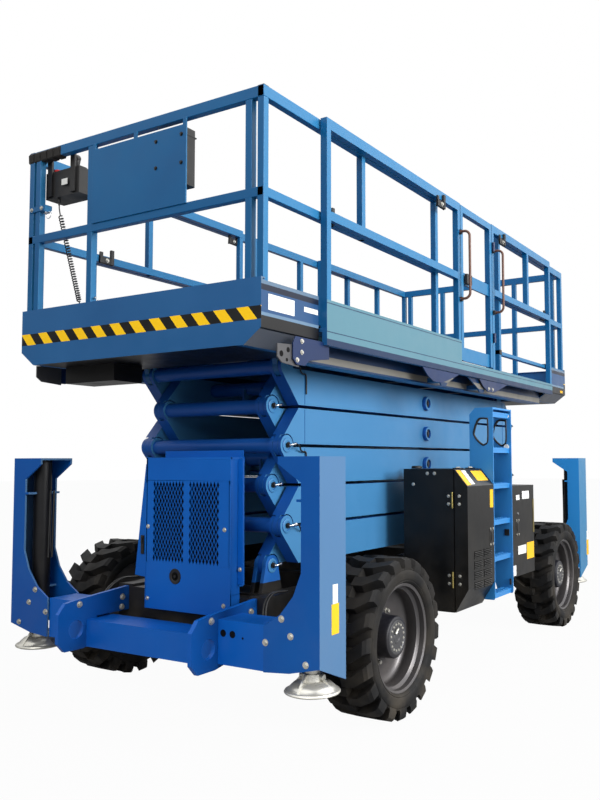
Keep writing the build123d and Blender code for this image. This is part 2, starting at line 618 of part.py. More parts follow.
bay_front = BAY_DOOR_Y - DOOR_GAP
save(bay(LEFT_BAY_X, 1, BAY_INNER_Y, bay_front, BAY_Z, (200, 430)), "left_bay")
save(sloped_door(LEFT_BAY_X, 1, BAY_Z), "left_bay_door")
save(bay(RIGHT_BAY_X, -1, BAY_INNER_Y, bay_front, BAY_Z, (-540, 430)), "right_bay")
save(sloped_door(RIGHT_BAY_X, -1, BAY_Z), "right_bay_door")
save(bay(REAR_BAY_X, 1, BAY_INNER_Y, BAY_OUTER_Y - 36, REAR_BAY_Z, (-690, -390)), "rear_bay")
with BuildPart() as rear_door:
    bar(REAR_BAY_X, (BAY_OUTER_Y - 30, BAY_OUTER_Y - 20), REAR_BAY_Z)
save(rear_door.part, "rear_bay_door")
with BuildPart() as engine:
    bar((-540, 460), (-1000, -BAY_INNER_Y - BAY_WALL), (BAY_Z[0] + BAY_WALL, 1150))
save(engine.part, "engine_block")

LADDER_PLATE = 8.0
LADDER_RUNGS = 6
RUNG_PITCH = 246.0
RUNG_LOW_Z = 442.0
RUNG_HEIGHT = 34.0
# Side plate and its hand hole. Rows: Y, Z
LADDER_SIDE = ((1017, 440), (1123, 440), (1130, 455), (1130, 1735), (1000, 1735), (958, 1690), (958, 640))
HAND_HOLE = ((989, 1559), (1006, 1622), (1032, 1659), (1082, 1659), (1092, 1645), (1092, 1510), (1070, 1482),
             (1050, 1482), (1013, 1514))
with BuildPart() as ladder:
    for x in (LADDER_X[0], LADDER_X[1] - LADDER_PLATE):
        end_plate(LADDER_SIDE, x, x + LADDER_PLATE)
        end_plate(HAND_HOLE, x, x + LADDER_PLATE, Mode.SUBTRACT)
        bar((x, x + LADDER_PLATE), (FRAME_HALF_WIDTH, 1018), (560, 640))
    for n in range(LADDER_RUNGS):
        z = RUNG_LOW_Z + RUNG_PITCH * n
        bar((LADDER_X[0] + 1, LADDER_X[1] - 1), (1040, 1112), (z, z + RUNG_HEIGHT))
save(ladder.part, "ladder")

# ---- Platform -------------------------------------------------------------------------------
GATE_FRONT_X = 165.0
GATE_REAR_X = -465.0
GATE_GAP = 8.0
DECK_PLATE = 20.0
TOE_WALL = 4.0
END_PLATE_DEPTH = 80.0
TREAD_PANEL_X = (-700.0, 400.0)
TREAD_PANEL_HALF = 840.0
GUSSET_X = (-250.0, 400.0)
GUSSET_TIP_Z = 1872.0
GRAB_Z = (2495.0, 2970.0)
GRAB_REACH = 80.0
GRAB_BEND = 40.0
GRAB_RADIUS = 9.0
SHORT_POST_X = (-1251.0, 1387.0)
FRONT_POST_Y = (-768.0, -390.0, 390.0, 768.0)
roof_low = level_z[LEVELS] + ROLLER_RADIUS + ROLLER_GAP
deck_under_z = DECK_TOP_Z - DECK_PLATE
channel_inner_y = SIDE_CHANNEL_Y - 90
edge_inner_y = DECK_HALF_WIDTH - 30
rail_face = DECK_HALF_WIDTH - TOE_WALL
with BuildPart() as deck:
    whole = (-DECK_HALF_LENGTH, DECK_HALF_LENGTH)
    bar(whole, (-channel_inner_y, channel_inner_y), (deck_under_z, DECK_TOP_Z))
    # Half cross-section of the deck's edge, side bar outside and channel underneath. Rows: Y, Z
    edge = ((channel_inner_y, DECK_TOP_Z), (DECK_HALF_WIDTH, DECK_TOP_Z), (DECK_HALF_WIDTH, SIDE_BAR_Z[0]),
            (edge_inner_y, SIDE_BAR_Z[0]), (edge_inner_y, deck_under_z), (SIDE_CHANNEL_Y, deck_under_z),
            (SIDE_CHANNEL_Y, SIDE_CHANNEL_LOW_Z), (channel_inner_y, SIDE_CHANNEL_LOW_Z),
            (channel_inner_y, SIDE_CHANNEL_LOW_Z + 12), (SIDE_CHANNEL_Y - 12, SIDE_CHANNEL_LOW_Z + 12),
            (SIDE_CHANNEL_Y - 12, deck_under_z), (channel_inner_y, deck_under_z))
    for side in (1, -1):
        end_plate([(side * y, z) for y, z in edge], *whole)
        toe_x = (GATE_FRONT_X - 20 if side > 0 else GATE_REAR_X - 20, DECK_HALF_LENGTH)
        bar(toe_x, sorted((side * rail_face, side * DECK_HALF_WIDTH)), (DECK_TOP_Z, TOE_TOP_Z))
        for x in GUSSET_X:
            gusset = [(x - 250, SIDE_BAR_Z[0]), (x - 60, GUSSET_TIP_Z + 25), (x - 35, GUSSET_TIP_Z),
                      (x + 35, GUSSET_TIP_Z), (x + 60, GUSSET_TIP_Z + 25), (x + 250, SIDE_BAR_Z[0])]
            side_plate(gusset, *sorted((side * edge_inner_y, side * (edge_inner_y + 8))))
            bar((x - 40, x + 40), sorted((side * SIDE_CHANNEL_Y, side * edge_inner_y)),
                (SIDE_CHANNEL_LOW_Z + 10, SIDE_CHANNEL_LOW_Z + 40))
        bar((FAR_PIN_X - 79, 240), sorted((side * inner_arm_inside, side * inner_arm_face)),
            (roof_low, deck_under_z))
        tongue = sorted((side * (OUTER_ARM_FACE - ARM_WIDTH + lap), side * (OUTER_ARM_FACE - lap)))
        side_plate([(NEAR_PIN_X - 56, level_z[LEVELS]), (NEAR_PIN_X + 56, level_z[LEVELS]),
                    (NEAR_PIN_X + 100, deck_under_z), (NEAR_PIN_X - 100, deck_under_z)], *tongue)
        cross_rod(NEAR_PIN_X, level_z[LEVELS], BOSS_RADIUS, *tongue)
        cross_rod(NEAR_PIN_X, level_z[LEVELS], PIN_RADIUS + RUNNING_FIT, *tongue, Mode.SUBTRACT)
    for x in (-1500, -900, -300, 300, 900, 1500):
        bar((x - 30, x + 30), (-channel_inner_y, channel_inner_y), (deck_under_z - 50, deck_under_z))
    for end in (1, -1):
        bar(sorted((end * (DECK_HALF_LENGTH - 14), end * DECK_HALF_LENGTH)), (-channel_inner_y, channel_inner_y),
            (deck_under_z - END_PLATE_DEPTH, deck_under_z))
    bar(TREAD_PANEL_X, (-TREAD_PANEL_HALF, TREAD_PANEL_HALF), (DECK_TOP_Z - 1, DECK_TOP_Z + 3))
save(deck.part, "platform_deck")


def rail_side(side, face, posts, runs):
    """One guard rail side. posts rows: x, lower end, upper end. runs rows: x low, x high, z low, z high."""
    y = sorted((side * face, side * (face - RAIL_TUBE)))
    for x, foot, head in posts:
        bar((x - RAIL_TUBE / 2, x + RAIL_TUBE / 2), y, (foot, head))
    for x_low, x_high, z_low, z_high in runs:
        bar((x_low, x_high), y, (z_low, z_high))


TOP = (RAIL_TOP_Z - TOP_RAIL_HEIGHT, RAIL_TOP_Z)
MID = (MID_RAIL_Z - 24, MID_RAIL_Z + 24)
half_tube = RAIL_TUBE / 2
post_head = TOP[0] + 1
main_end = DECK_HALF_LENGTH - 6
with BuildPart() as rails:
    for side in (1, -1):
        posts = [(x, DECK_TOP_Z, post_head) for x in (main_end - half_tube, GATE_FRONT_X, GATE_REAR_X,
                                                      half_tube - main_end)]
        posts.append((SHORT_POST_X[0], MID[0], post_head))
        runs = [(-main_end, main_end)]
        if side > 0:
            runs = [(GATE_FRONT_X - half_tube, main_end), (-main_end, GATE_REAR_X + half_tube)]
        rail_side(side, rail_face, posts, [(*run, *height) for run in runs for height in (TOP, MID)])
    for x in (GATE_FRONT_X, GATE_REAR_X):
        out_y = rail_face + GRAB_REACH
        with BuildLine(Plane.YZ.offset(x)) as handle:
            FilletPolyline((rail_face - 1, GRAB_Z[0]), (out_y, GRAB_Z[0]), (out_y, GRAB_Z[1]),
                           (rail_face - 1, GRAB_Z[1]), radius=GRAB_BEND)
        with BuildSketch(Plane(origin=handle.line @ 0, z_dir=handle.line % 0)):
            Circle(GRAB_RADIUS)
        sweep(path=handle.line)
save(rails.part, "main_rails")

with BuildPart() as gate:
    x_low, x_high = GATE_REAR_X + half_tube + GATE_GAP, GATE_FRONT_X - half_tube - GATE_GAP
    y = (rail_face - RAIL_TUBE, rail_face)
    plate_y = (y[0] + 12, y[1] - 12)
    for x in (x_low, x_high - RAIL_TUBE):
        bar((x, x + RAIL_TUBE), y, (DECK_TOP_Z + 12, TOP[1] - 5))
    bar((x_low, x_high), y, (TOP[0] + 5, TOP[1] - 5))
    bar((x_low, x_high), plate_y, (MID[0] - 20, MID[1] + 20))
    bar((x_low, x_high), plate_y, (DECK_TOP_Z + 12, TOE_TOP_Z - 40))
save(gate.part, "entry_gate")

# Roll-out decks. name, end, panel X, inner end X
EXTENSIONS = (("front", 1, FRONT_PANEL_X, FRONT_EXTENSION_REAR_X),
              ("rear", -1, -REAR_PANEL_X, -REAR_EXTENSION_FRONT_X))
PANEL_WALL = 12.0
PANEL_LIP = 30.0
extension_floor = (EXTENSION_DECK_Z - EXTENSION_PLATE, EXTENSION_DECK_Z)
extension_side = EXTENSION_HALF_WIDTH - 6
for name, end, panel_x, inner_x in EXTENSIONS:
    skirt_x = sorted((end * (DECK_HALF_LENGTH + 10), end * (panel_x - 1)))
    with BuildPart() as extension:
        bar(sorted((end * inner_x, end * (panel_x - 1))), (-extension_side, extension_side), extension_floor)
        end_plate([(-EXTENSION_HALF_WIDTH, PANEL_CHAMFER_Z), (-PANEL_LOW_HALF, PANEL_LOW_Z),
                   (PANEL_LOW_HALF, PANEL_LOW_Z), (EXTENSION_HALF_WIDTH, PANEL_CHAMFER_Z),
                   (EXTENSION_HALF_WIDTH, PANEL_TOP_Z), (-EXTENSION_HALF_WIDTH, PANEL_TOP_Z)],
                  *sorted((end * (panel_x - PANEL_WALL), end * panel_x)))
        bar(sorted((end * (panel_x - PANEL_LIP), end * panel_x)), (-EXTENSION_HALF_WIDTH, EXTENSION_HALF_WIDTH),
            (PANEL_TOP_Z - 6, PANEL_TOP_Z))
        bar(sorted((end * (DECK_HALF_LENGTH + 10), end * (panel_x - 1))), (-PANEL_LOW_HALF, PANEL_LOW_HALF),
            (PANEL_LOW_Z, PANEL_LOW_Z + 8))
        for side in (1, -1):
            bar(skirt_x, sorted((side * extension_side, side * EXTENSION_HALF_WIDTH)), (PANEL_CHAMFER_Z, PANEL_TOP_Z - 14))
            end_plate([(side * PANEL_LOW_HALF, PANEL_LOW_Z), (side * EXTENSION_HALF_WIDTH, PANEL_CHAMFER_Z),
                       (side * EXTENSION_HALF_WIDTH, PANEL_CHAMFER_Z + 10),
                       (side * PANEL_LOW_HALF, PANEL_LOW_Z + 10)], *skirt_x)
            for y_mid in (250, 620):
                bar(skirt_x, sorted((side * (y_mid - 40), side * (y_mid + 40))), (PANEL_LOW_Z + 7, extension_floor[0] + 1))
        if end > 0:
            bar((1960, 2170), (-700, -300), (PANEL_LOW_Z - 96, PANEL_LOW_Z + 1))
            bar((2306, FRONT_PANEL_X - PANEL_WALL), (-530, -440), (2110, 2190))
    save(extension.part, f"{name}_extension_deck")
    with BuildPart() as extension_rails:
        end_x = panel_x - PANEL_LIP - 1
        run = sorted((end * inner_x, end * end_x))
        posts = [(end * (end_x - half_tube), extension_floor[1], post_head),
                 (end * (inner_x + half_tube), extension_floor[1], post_head)]
        runs = [(*run, *TOP), (*run, *MID)]
        if end > 0:
            posts.append((SHORT_POST_X[1], MID[0], post_head))
        else:
            runs.append((*run, TOE_TOP_Z, TOE_TOP_Z + 26))
        for side in (1, -1):
            rail_side(side, extension_side, posts, runs)
        cross_x = sorted((end * (end_x - RAIL_TUBE), end * end_x))
        for height in (TOP, MID):
            bar(cross_x, (-extension_side, extension_side), height)
        for y in FRONT_POST_Y:
            bar(cross_x, (y - half_tube, y + half_tube), (extension_floor[1], post_head))
        if end > 0:
            bar((end_x, end_x + 8), (-370, 350), (2728, 3110))
    save(extension_rails.part, f"{name}_extension_rails")

# ---- Controls -----------------------------------------------------------------------------
post_x = FRONT_PANEL_X - PANEL_LIP - 1 - RAIL_TUBE
BOX_Y = (-790.0, -505.0)
BOX_Z = (2906.0, 3040.0)
with BuildPart() as control_box:
    side_plate([(post_x - 165, BOX_Z[0] + 25), (post_x - 140, BOX_Z[0]), (post_x - 12, BOX_Z[0]),
                (post_x - 12, BOX_Z[1] + 22), (post_x - 60, BOX_Z[1] + 22), (post_x - 165, BOX_Z[1] - 25)], *BOX_Y)
    for y in (BOX_Y[0] + 45, BOX_Y[1] - 45):
        bar((post_x - 13, post_x), (y - 18, y + 18), (BOX_Z[0] + 10, TOP[1]))
    upright(post_x - 70, BOX_Y[1] - 90, 11, BOX_Z[1], BOX_Z[1] + 90)
    with Locations((post_x - 70, BOX_Y[1] - 90, BOX_Z[1] + 95)):
        Sphere(22)
    upright(post_x - 42, BOX_Y[0] + 60, 19, BOX_Z[1] + 20, BOX_Z[1] + 36)
    upright(CORD_TOP[0], CORD_TOP[1], CORD_RADIUS + 5, CORD_TOP[2], BOX_Z[0] + 1)
save(control_box.part, "control_box")

with BuildPart() as document_box:
    bar((post_x - 75, post_x - 1), (130, 321), (2800, 3100))
    fillet(document_box.edges().filter_by(Axis.Z), 14)
save(document_box.part, "document_box")

# The curly cord: a plain solid round its coil and a plain tube for each straight tail
coil_plane = Plane(origin=COIL_TOP, z_dir=[b - a for a, b in zip(COIL_TOP, COIL_LOW)])
coil_length = hypot(*[b - a for a, b in zip(COIL_TOP, COIL_LOW)])
with BuildPart() as cord_coil:
    with BuildSketch(coil_plane):
        Circle(COIL_RADIUS)
    extrude(amount=coil_length)
save(cord_coil.part, "cord_coil")

# Tails of the cord. Rows: X, Y, Z
top_tail = (CORD_TOP, (CORD_TOP[0], CORD_TOP[1], CORD_TOP[2] - 38.8), COIL_TOP)
low_tail = (COIL_LOW, (COIL_LOW[0] + 3, COIL_LOW[1] + 15, COIL_LOW[2] - 50),
            (COIL_LOW[0] + 12, CORD_SOCKET[1], CORD_SOCKET[2] + 8),
            (CORD_SOCKET[0] - 20, *CORD_SOCKET[1:]), CORD_SOCKET)


def bend_radii(route):
    """Bend radius at each inner point: 0.45 of the shorter run over the tangent of half the turn."""
    runs = [Vector(*b) - Vector(*a) for a, b in zip(route, route[1:])]
    return [BEND_SHARE * min(a.length, b.length) / tan(radians(a.get_angle(b)) / 2) for a, b in zip(runs, runs[1:])]


with BuildPart() as cord_tails:
    for route in (top_tail, low_tail):
        bends = bend_radii(route)
        print("cord bend radii", [round(bend, 1) for bend in bends])
        with BuildLine() as line:
            FilletPolyline(*route, radius=bends)
        with BuildSketch(Plane(origin=line.line @ 0, z_dir=line.line % 0)):
            Circle(CORD_RADIUS)
        sweep(path=line.line)
save(cord_tails.part, "cord_tails")
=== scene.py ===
"""Looks of a rough-terrain scissor lift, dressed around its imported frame.

Metres, +X towards the steered front axle, +Y towards the ladder, +Z up.
"""
import json
import logging
from dataclasses import dataclass, field
from enum import Enum
from math import cos, pi, radians, sin, tau

import bmesh
import bpy
import numpy as np
from mathutils import Matrix, Vector

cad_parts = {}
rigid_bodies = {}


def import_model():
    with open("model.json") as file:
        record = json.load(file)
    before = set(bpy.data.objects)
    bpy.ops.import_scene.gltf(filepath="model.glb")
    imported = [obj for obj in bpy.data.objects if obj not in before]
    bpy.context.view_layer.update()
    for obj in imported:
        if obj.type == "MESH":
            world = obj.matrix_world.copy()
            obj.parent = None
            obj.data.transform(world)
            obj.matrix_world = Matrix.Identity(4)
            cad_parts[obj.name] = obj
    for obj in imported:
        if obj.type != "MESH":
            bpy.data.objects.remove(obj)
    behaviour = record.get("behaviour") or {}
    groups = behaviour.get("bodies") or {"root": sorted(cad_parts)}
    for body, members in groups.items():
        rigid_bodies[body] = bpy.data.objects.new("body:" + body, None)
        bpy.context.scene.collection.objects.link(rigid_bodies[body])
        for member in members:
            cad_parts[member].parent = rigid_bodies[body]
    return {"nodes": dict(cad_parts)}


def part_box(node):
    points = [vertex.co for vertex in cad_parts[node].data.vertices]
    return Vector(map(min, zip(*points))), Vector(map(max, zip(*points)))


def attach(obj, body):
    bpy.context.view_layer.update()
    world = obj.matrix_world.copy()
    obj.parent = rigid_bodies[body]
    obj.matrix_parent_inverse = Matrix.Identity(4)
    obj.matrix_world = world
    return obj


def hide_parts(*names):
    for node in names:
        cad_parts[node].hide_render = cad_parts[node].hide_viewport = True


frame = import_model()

log = logging.getLogger("scissor_lift")
Point = tuple[float, float, float]
Colour = tuple[float, float, float]
NODES: dict[str, bpy.types.Object] = frame["nodes"]


class Axis(Enum):
    """The axis that a profile is turned about or an outline is drawn out along."""

    X = 0
    Y = 1
    Z = 2


# ---- Finishes ---------------------------------------------------------------------------


def linear(colour: Colour) -> tuple[float, float, float, float]:
    """The screen colour, 0 to 255 a channel, as the linear colour that a shader takes.

    Args:
        colour: Red, green and blue on a screen.

    Returns:
        Linear red, green, blue and an alpha of one.
    """
    part = np.array(colour) / 255
    flat = np.where(part <= 0.04045, part / 12.92, ((part + 0.055) / 1.055) ** 2.4)
    return (*flat.tolist(), 1.0)


class Graph:
    """A material's nodes, added and linked one line at a time."""

    def __init__(self, name: str) -> None:
        """Makes a material with a Principled shader in it.

        Args:
            name: The material's name.
        """
        self.material = bpy.data.materials.new(name)
        self.material.use_nodes = True
        self.tree = self.material.node_tree
        self.shader = self.tree.nodes["Principled BSDF"]
        self.coordinates = self.node("ShaderNodeTexCoord").outputs["Object"]

    def node(self, kind: str, **values: object) -> bpy.types.Node:
        """Adds a node.

        Args:
            kind: The node's type.
            **values: Attributes to set on it.

        Returns:
            The new node.
        """
        made = self.tree.nodes.new(kind)
        for key, value in values.items():
            setattr(made, key, value)
        return made

    def link(self, source: object, target: object) -> None:
        """Links an output to an input, or sets the input where the source is a plain value.

        Args:
            source: An output socket or a value.
            target: The input socket.
        """
        if isinstance(source, bpy.types.NodeSocket):
            self.tree.links.new(source, target)
        else:
            target.default_value = source

    def noise(self, scale: float, detail: float = 2.0, stretch: Point = (1, 1, 1)) -> object:
        """Cloudy noise in object space.

        Args:
            scale: Number of clouds in a metre.
            detail: Number of finer layers.
            stretch: Scale along X, Y and Z.

        Returns:
            The factor output, about 0.3 to 0.7.
        """
        place = self.node("ShaderNodeMapping")
        self.link(self.coordinates, place.inputs["Vector"])
        place.inputs["Scale"].default_value = stretch
        made = self.node("ShaderNodeTexNoise")
        self.link(place.outputs["Vector"], made.inputs["Vector"])
        made.inputs["Scale"].default_value = scale
        made.inputs["Detail"].default_value = detail
        return made.outputs["Fac"]

    def math(self, operation: str, a: object, b: object = 0.0) -> object:
        """One step of arithmetic on two values.

        Args:
            operation: Name of the step, such as ADD.
            a: First value or output.
            b: Second value or output.

        Returns:
            The result's output.
        """
        made = self.node("ShaderNodeMath", operation=operation)
        self.link(a, made.inputs[0])
        self.link(b, made.inputs[1])
        return made.outputs[0]

    def both(self, a: object, b: object) -> object:
        """One where both masks are one."""
        return self.math("MULTIPLY", a, b)

    def above(self, value: object, least: float) -> object:
        """One where the value is greater than a bound."""
        return self.math("GREATER_THAN", value, least)

    def below(self, value: object, most: float) -> object:
        """One where the value is less than a bound."""
        return self.math("LESS_THAN", value, most)

    def inside(self, value: object, low: float, high: float) -> object:
        """One where the value lies between two bounds."""
        return self.both(self.above(value, low), self.below(value, high))

    def size(self, value: object) -> object:
        """The value without its sign."""
        return self.math("ABSOLUTE", value)

    def ramp(self, value: object, low: float, high: float, to_low: float = 0.0, to_high: float = 1.0) -> object:
        """Maps a value from one range to another, held at its ends.

        Args:
            value: The value to map.
            low: Start of its range.
            high: End of its range.
            to_low: Result at the start.
            to_high: Result at the end.

        Returns:
            The mapped output.
        """
        made = self.node("ShaderNodeMapRange", clamp=True)
        for key, source in (("Value", value), ("From Min", low), ("From Max", high), ("To Min", to_low),
                            ("To Max", to_high)):
            self.link(source, made.inputs[key])
        return made.outputs["Result"]

    def mix(self, factor: object, a: object, b: object) -> object:
        """Mixes two colours.

        Args:
            factor: Share of the second colour.
            a: First colour.
            b: Second colour.

        Returns:
            The mixed colour's output.
        """
        made = self.node("ShaderNodeMix", data_type="RGBA")
        for key, source in ((0, factor), (6, a), (7, b)):
            self.link(source, made.inputs[key])
        return made.outputs[2]

    def parts(self, vector: object) -> tuple[object, object, object]:
        """Splits a vector.

        Args:
            vector: Its output.

        Returns:
            The outputs of its X, Y and Z.
        """
        made = self.node("ShaderNodeSeparateXYZ")
        self.link(vector, made.inputs[0])
        return tuple(made.outputs[:3])

    def place(self) -> tuple[object, object, object]:
        """The object-space X, Y and Z of the surface."""
        return self.parts(self.coordinates)

    def sideways(self) -> object:
        """How far the surface looks along Y, from nought to one."""
        return self.size(self.parts(self.node("ShaderNodeTexCoord").outputs["Normal"])[1])

    def bump(self, height: object, strength: float, distance: float = 0.001) -> None:
        """Adds a bump on top of those that the shader already has.

        Args:
            height: The height's output.
            strength: Share of the bump that shows.
            distance: Depth of the bump in metres.
        """
        made = self.node("ShaderNodeBump")
        made.inputs["Strength"].default_value = strength
        made.inputs["Distance"].default_value = distance
        self.link(height, made.inputs["Height"])
        normal = self.shader.inputs["Normal"]
        if normal.is_linked:
            self.link(normal.links[0].from_socket, made.inputs["Normal"])
        self.link(made.outputs["Normal"], normal)


@dataclass(frozen=True)
class Finish:
    """A surface finish: a colour that drifts, a roughness that varies, grain, dust low down, and painted light and
    shade on the faces that look sideways.

    Attributes:
        name: Plain name of the finish.
        colour: Main screen colour, 0 to 255 a channel.
        shade: Screen colour that the main one drifts towards.
        roughness: Lowest and highest roughness.
        metallic: One on bare metal.
        coat: Weight of the clear coat.
        grain: Clouds of the fine bump in a metre.
        relief: Strength of the fine bump.
        dust: Share of dust near the ground.
        stretch: Scale of the grain along X, Y and Z.
        specular: Level of the reflection of a bare surface.
        side_shading: Screen colour painted on the faces that look sideways as painted light and shade, or nothing where
            they are the same.
        slot: The record's material slot; not used.
    """

    name: str
    colour: Colour
    shade: Colour
    roughness: tuple[float, float] = (0.3, 0.45)
    metallic: float = 0.0
    coat: float = 0.0
    grain: float = 260.0
    relief: float = 0.08
    dust: float = 0.0
    stretch: Point = (1, 1, 1)
    specular: float = 0.35
    side_shading: Colour | None = None
    slot: str = "black_plastic"

    DRIFT_CLOUDS = 1.3
    ROUGH_CLOUDS = 9.0
    DUST_CLOUDS = 6.0
    DUST_TOP = 1.1
    DUST_COLOUR = (150, 138, 120)
    COAT_ROUGHNESS = 0.12

    def base(self, graph: Graph) -> object:
        """The colour before dust, with the painted light and shade of the faces that look sideways.

        Args:
            graph: The material's nodes.

        Returns:
            The colour's output.
        """
        drift = graph.ramp(graph.noise(self.DRIFT_CLOUDS, 4.0), 0.35, 0.65)
        colour = graph.mix(drift, linear(self.colour), linear(self.shade))
        if self.side_shading is None:
            return colour
        # Painted light and shade: faces that look along Y take their own colour.
        return graph.mix(graph.ramp(graph.sideways(), 0.5, 0.95), colour, linear(self.side_shading))

    def material(self) -> bpy.types.Material:
        """The finish as a material, made once and then shared.

        Returns:
            The material.
        """
        ready = bpy.data.materials.get(f"{self.name}_look")
        if ready:
            return ready
        graph = Graph(f"{self.name}_look")
        colour = self.base(graph)
        if self.dust:
            height = graph.ramp(graph.place()[2], 0.0, self.DUST_TOP, 1.0, 0.0)
            patches = graph.ramp(graph.noise(self.DUST_CLOUDS, 6.0), 0.42, 0.7, 0.0, self.dust)
            colour = graph.mix(graph.both(height, patches), colour, linear(self.DUST_COLOUR))
        rough = graph.ramp(graph.noise(self.ROUGH_CLOUDS, 5.0), 0.3, 0.7, *self.roughness)
        for key, value in (("Base Color", colour), ("Roughness", rough), ("Metallic", self.metallic),
                           ("Coat Weight", self.coat), ("Coat Roughness", self.COAT_ROUGHNESS),
                           ("Specular IOR Level", self.specular)):
            graph.link(value, graph.shader.inputs[key])
        graph.bump(graph.noise(self.grain, 3.0, self.stretch), self.relief)
        return graph.material


@dataclass(frozen=True)
class Banded(Finish):
    """Paint whose side faces have level strips of painted light and shade, standing in for the folds and channels of a
    deck's edge.

    Attributes:
        fold_shading: Lowest and highest Z and screen colour of each level band of painted light and shade.
        out: Least distance of a banded face from the middle along Y.
        facing: Least share of Y in the normal of a banded face.
    """

    fold_shading: tuple[tuple[float, float, Colour], ...] = ()
    out: float = 0.70
    facing: float = 0.3

    def base(self, graph: Graph) -> object:
        """Paint with its level strips of painted light and shade on the side faces.

        Args:
            graph: The material's nodes.

        Returns:
            The colour's output.
        """
        _, y, z = graph.place()
        side = graph.both(graph.above(graph.sideways(), self.facing), graph.above(graph.size(y), self.out))
        colour = super().base(graph)
        # Painted light and shade: each level strip paints a fold or a channel of the deck's edge.
        for low, high, band in self.fold_shading:
            colour = graph.mix(graph.both(side, graph.inside(z, low, high)), colour, linear(band))
        return colour


@dataclass(frozen=True)
class Hazard(Banded):
    """Banded paint with a slanted yellow and black tape on the end faces, over near-black painted shade on the deck's
    underside.

    Attributes:
        under: Z under which the deck's underside is painted near-black as shade.
        inner: Distance from the middle along Y within which it is black.
        frame: Screen colour of the painted shade under the deck.
        band: Lowest and highest Z of the tape.
        reach: Least distance of a taped face from the middle along X.
        pitch: Length of a pair of stripes along Y.
        phase: Shift of the stripes, in pitches, large enough to keep the sum above nought.
        lean: Shift of a stripe along Y for each unit of Z.
        yellow: Screen colour of the light stripes.
        black: Screen colour of the dark stripes.
    """

    under: float = 1.9215
    inner: float = 0.72
    frame: Colour = (8, 8, 9)
    band: tuple[float, float] = (2.038, 2.102)
    reach: float = 2.3445
    pitch: float = 0.1445
    phase: float = 49.66
    lean: float = 0.85
    yellow: Colour = (255, 204, 6)
    black: Colour = (2, 2, 2)

    def base(self, graph: Graph) -> object:
        """Banded paint with the painted shade of the underside below and the tape over it.

        Args:
            graph: The material's nodes.

        Returns:
            The colour's output.
        """
        x, y, z = graph.place()
        along = graph.math("ADD", y, graph.math("MULTIPLY", z, self.lean))
        phase = graph.math("FRACT", graph.math("ADD", graph.math("DIVIDE", along, self.pitch), self.phase))
        tape = graph.mix(graph.above(phase, 0.5), linear(self.yellow), linear(self.black))
        # Painted shade: near-black on the deck's underside, within inner of the middle and below under.
        shaded_under = graph.both(graph.below(z, self.under), graph.below(graph.size(y), self.inner))
        paint = graph.mix(shaded_under, super().base(graph), linear(self.frame))
        taped = graph.both(graph.above(graph.size(x), self.reach), graph.inside(z, *self.band))
        return graph.mix(taped, paint, tape)


@dataclass(frozen=True)
class Column(Finish):
    """Outrigger paint, with near-black painted shade on the tube inside the column, round the leg.

    Attributes:
        tube: Distance of the leg's axis from the middle along X and Y.
        radius: Radius inside which the surface belongs to the tube.
        inside: Screen colour of the painted shade on the tube.
    """

    tube: tuple[float, float] = (2.091, 0.985)
    radius: float = 0.0535
    inside: Colour = (15, 15, 17)

    def base(self, graph: Graph) -> object:
        """Column paint, and the painted shade of the tube near the axis of the leg.

        Args:
            graph: The material's nodes.

        Returns:
            The colour's output.
        """
        x, y, _ = graph.place()
        across = graph.math("SUBTRACT", graph.size(x), self.tube[0])
        along = graph.math("SUBTRACT", graph.size(y), self.tube[1])
        squares = graph.math("ADD", graph.math("POWER", across, 2.0), graph.math("POWER", along, 2.0))
        # Painted shade: near-black on the tube round the leg, inside the column.
        return graph.mix(graph.below(squares, self.radius ** 2), super().base(graph), linear(self.inside))


@dataclass(frozen=True)
class Pivot(Finish):
    """Black frame paint, with blue brackets where the lowest arms are pinned at the front.

    Attributes:
        start: X past which the brackets stand.
        foot: Z above which they stand.
        bracket: Screen colour of the brackets.
    """

    start: float = 1.56
    foot: float = 0.706
    bracket: Colour = (14, 80, 150)

    def base(self, graph: Graph) -> object:
        """Frame paint with the brackets' own colour near the front pins.

        Args:
            graph: The material's nodes.

        Returns:
            The colour's output.
        """
        x, _, z = graph.place()
        where = graph.both(graph.above(x, self.start), graph.above(z, self.foot))
        return graph.mix(where, super().base(graph), linear(self.bracket))


@dataclass(frozen=True)
class Railing(Finish):
    """Rail paint, with bare brown coating on the grab handles outside the rails.

    Attributes:
        handle: Screen colour of the grab handles.
        edge: Y past which a surface belongs to a handle.
        foot: Z above which it does.
    """

    handle: Colour = (92, 62, 50)
    edge: float = 0.918
    foot: float = 2.4

    def base(self, graph: Graph) -> object:
        """Rail paint with the handles' own colour outside the rails.

        Args:
            graph: The material's nodes.

        Returns:
            The colour's output.
        """
        _, y, z = graph.place()
        where = graph.both(graph.above(y, self.edge), graph.above(z, self.foot))
        return graph.mix(where, super().base(graph), linear(self.handle))


# Each side_shading colour is painted light and shade on the faces that look along Y: lighter than the paint on some
# finishes, darker on others.
CHASSIS_BLUE = Finish("chassis_blue", (8, 94, 184), (6, 84, 172), (0.3, 0.45), dust=0.02, specular=0.18,
                      side_shading=(6, 66, 134), slot="chassis_blue")
NOSE_BLUE = Finish("nose_blue", (12, 36, 76), (10, 30, 66), (0.3, 0.45), specular=0.3, slot="platform_blue")
COLUMN_BLUE = Column("column_blue", (8, 84, 162), (7, 74, 152), (0.3, 0.45), dust=0.05, specular=0.2,
                     side_shading=(72, 108, 145), slot="chassis_blue")
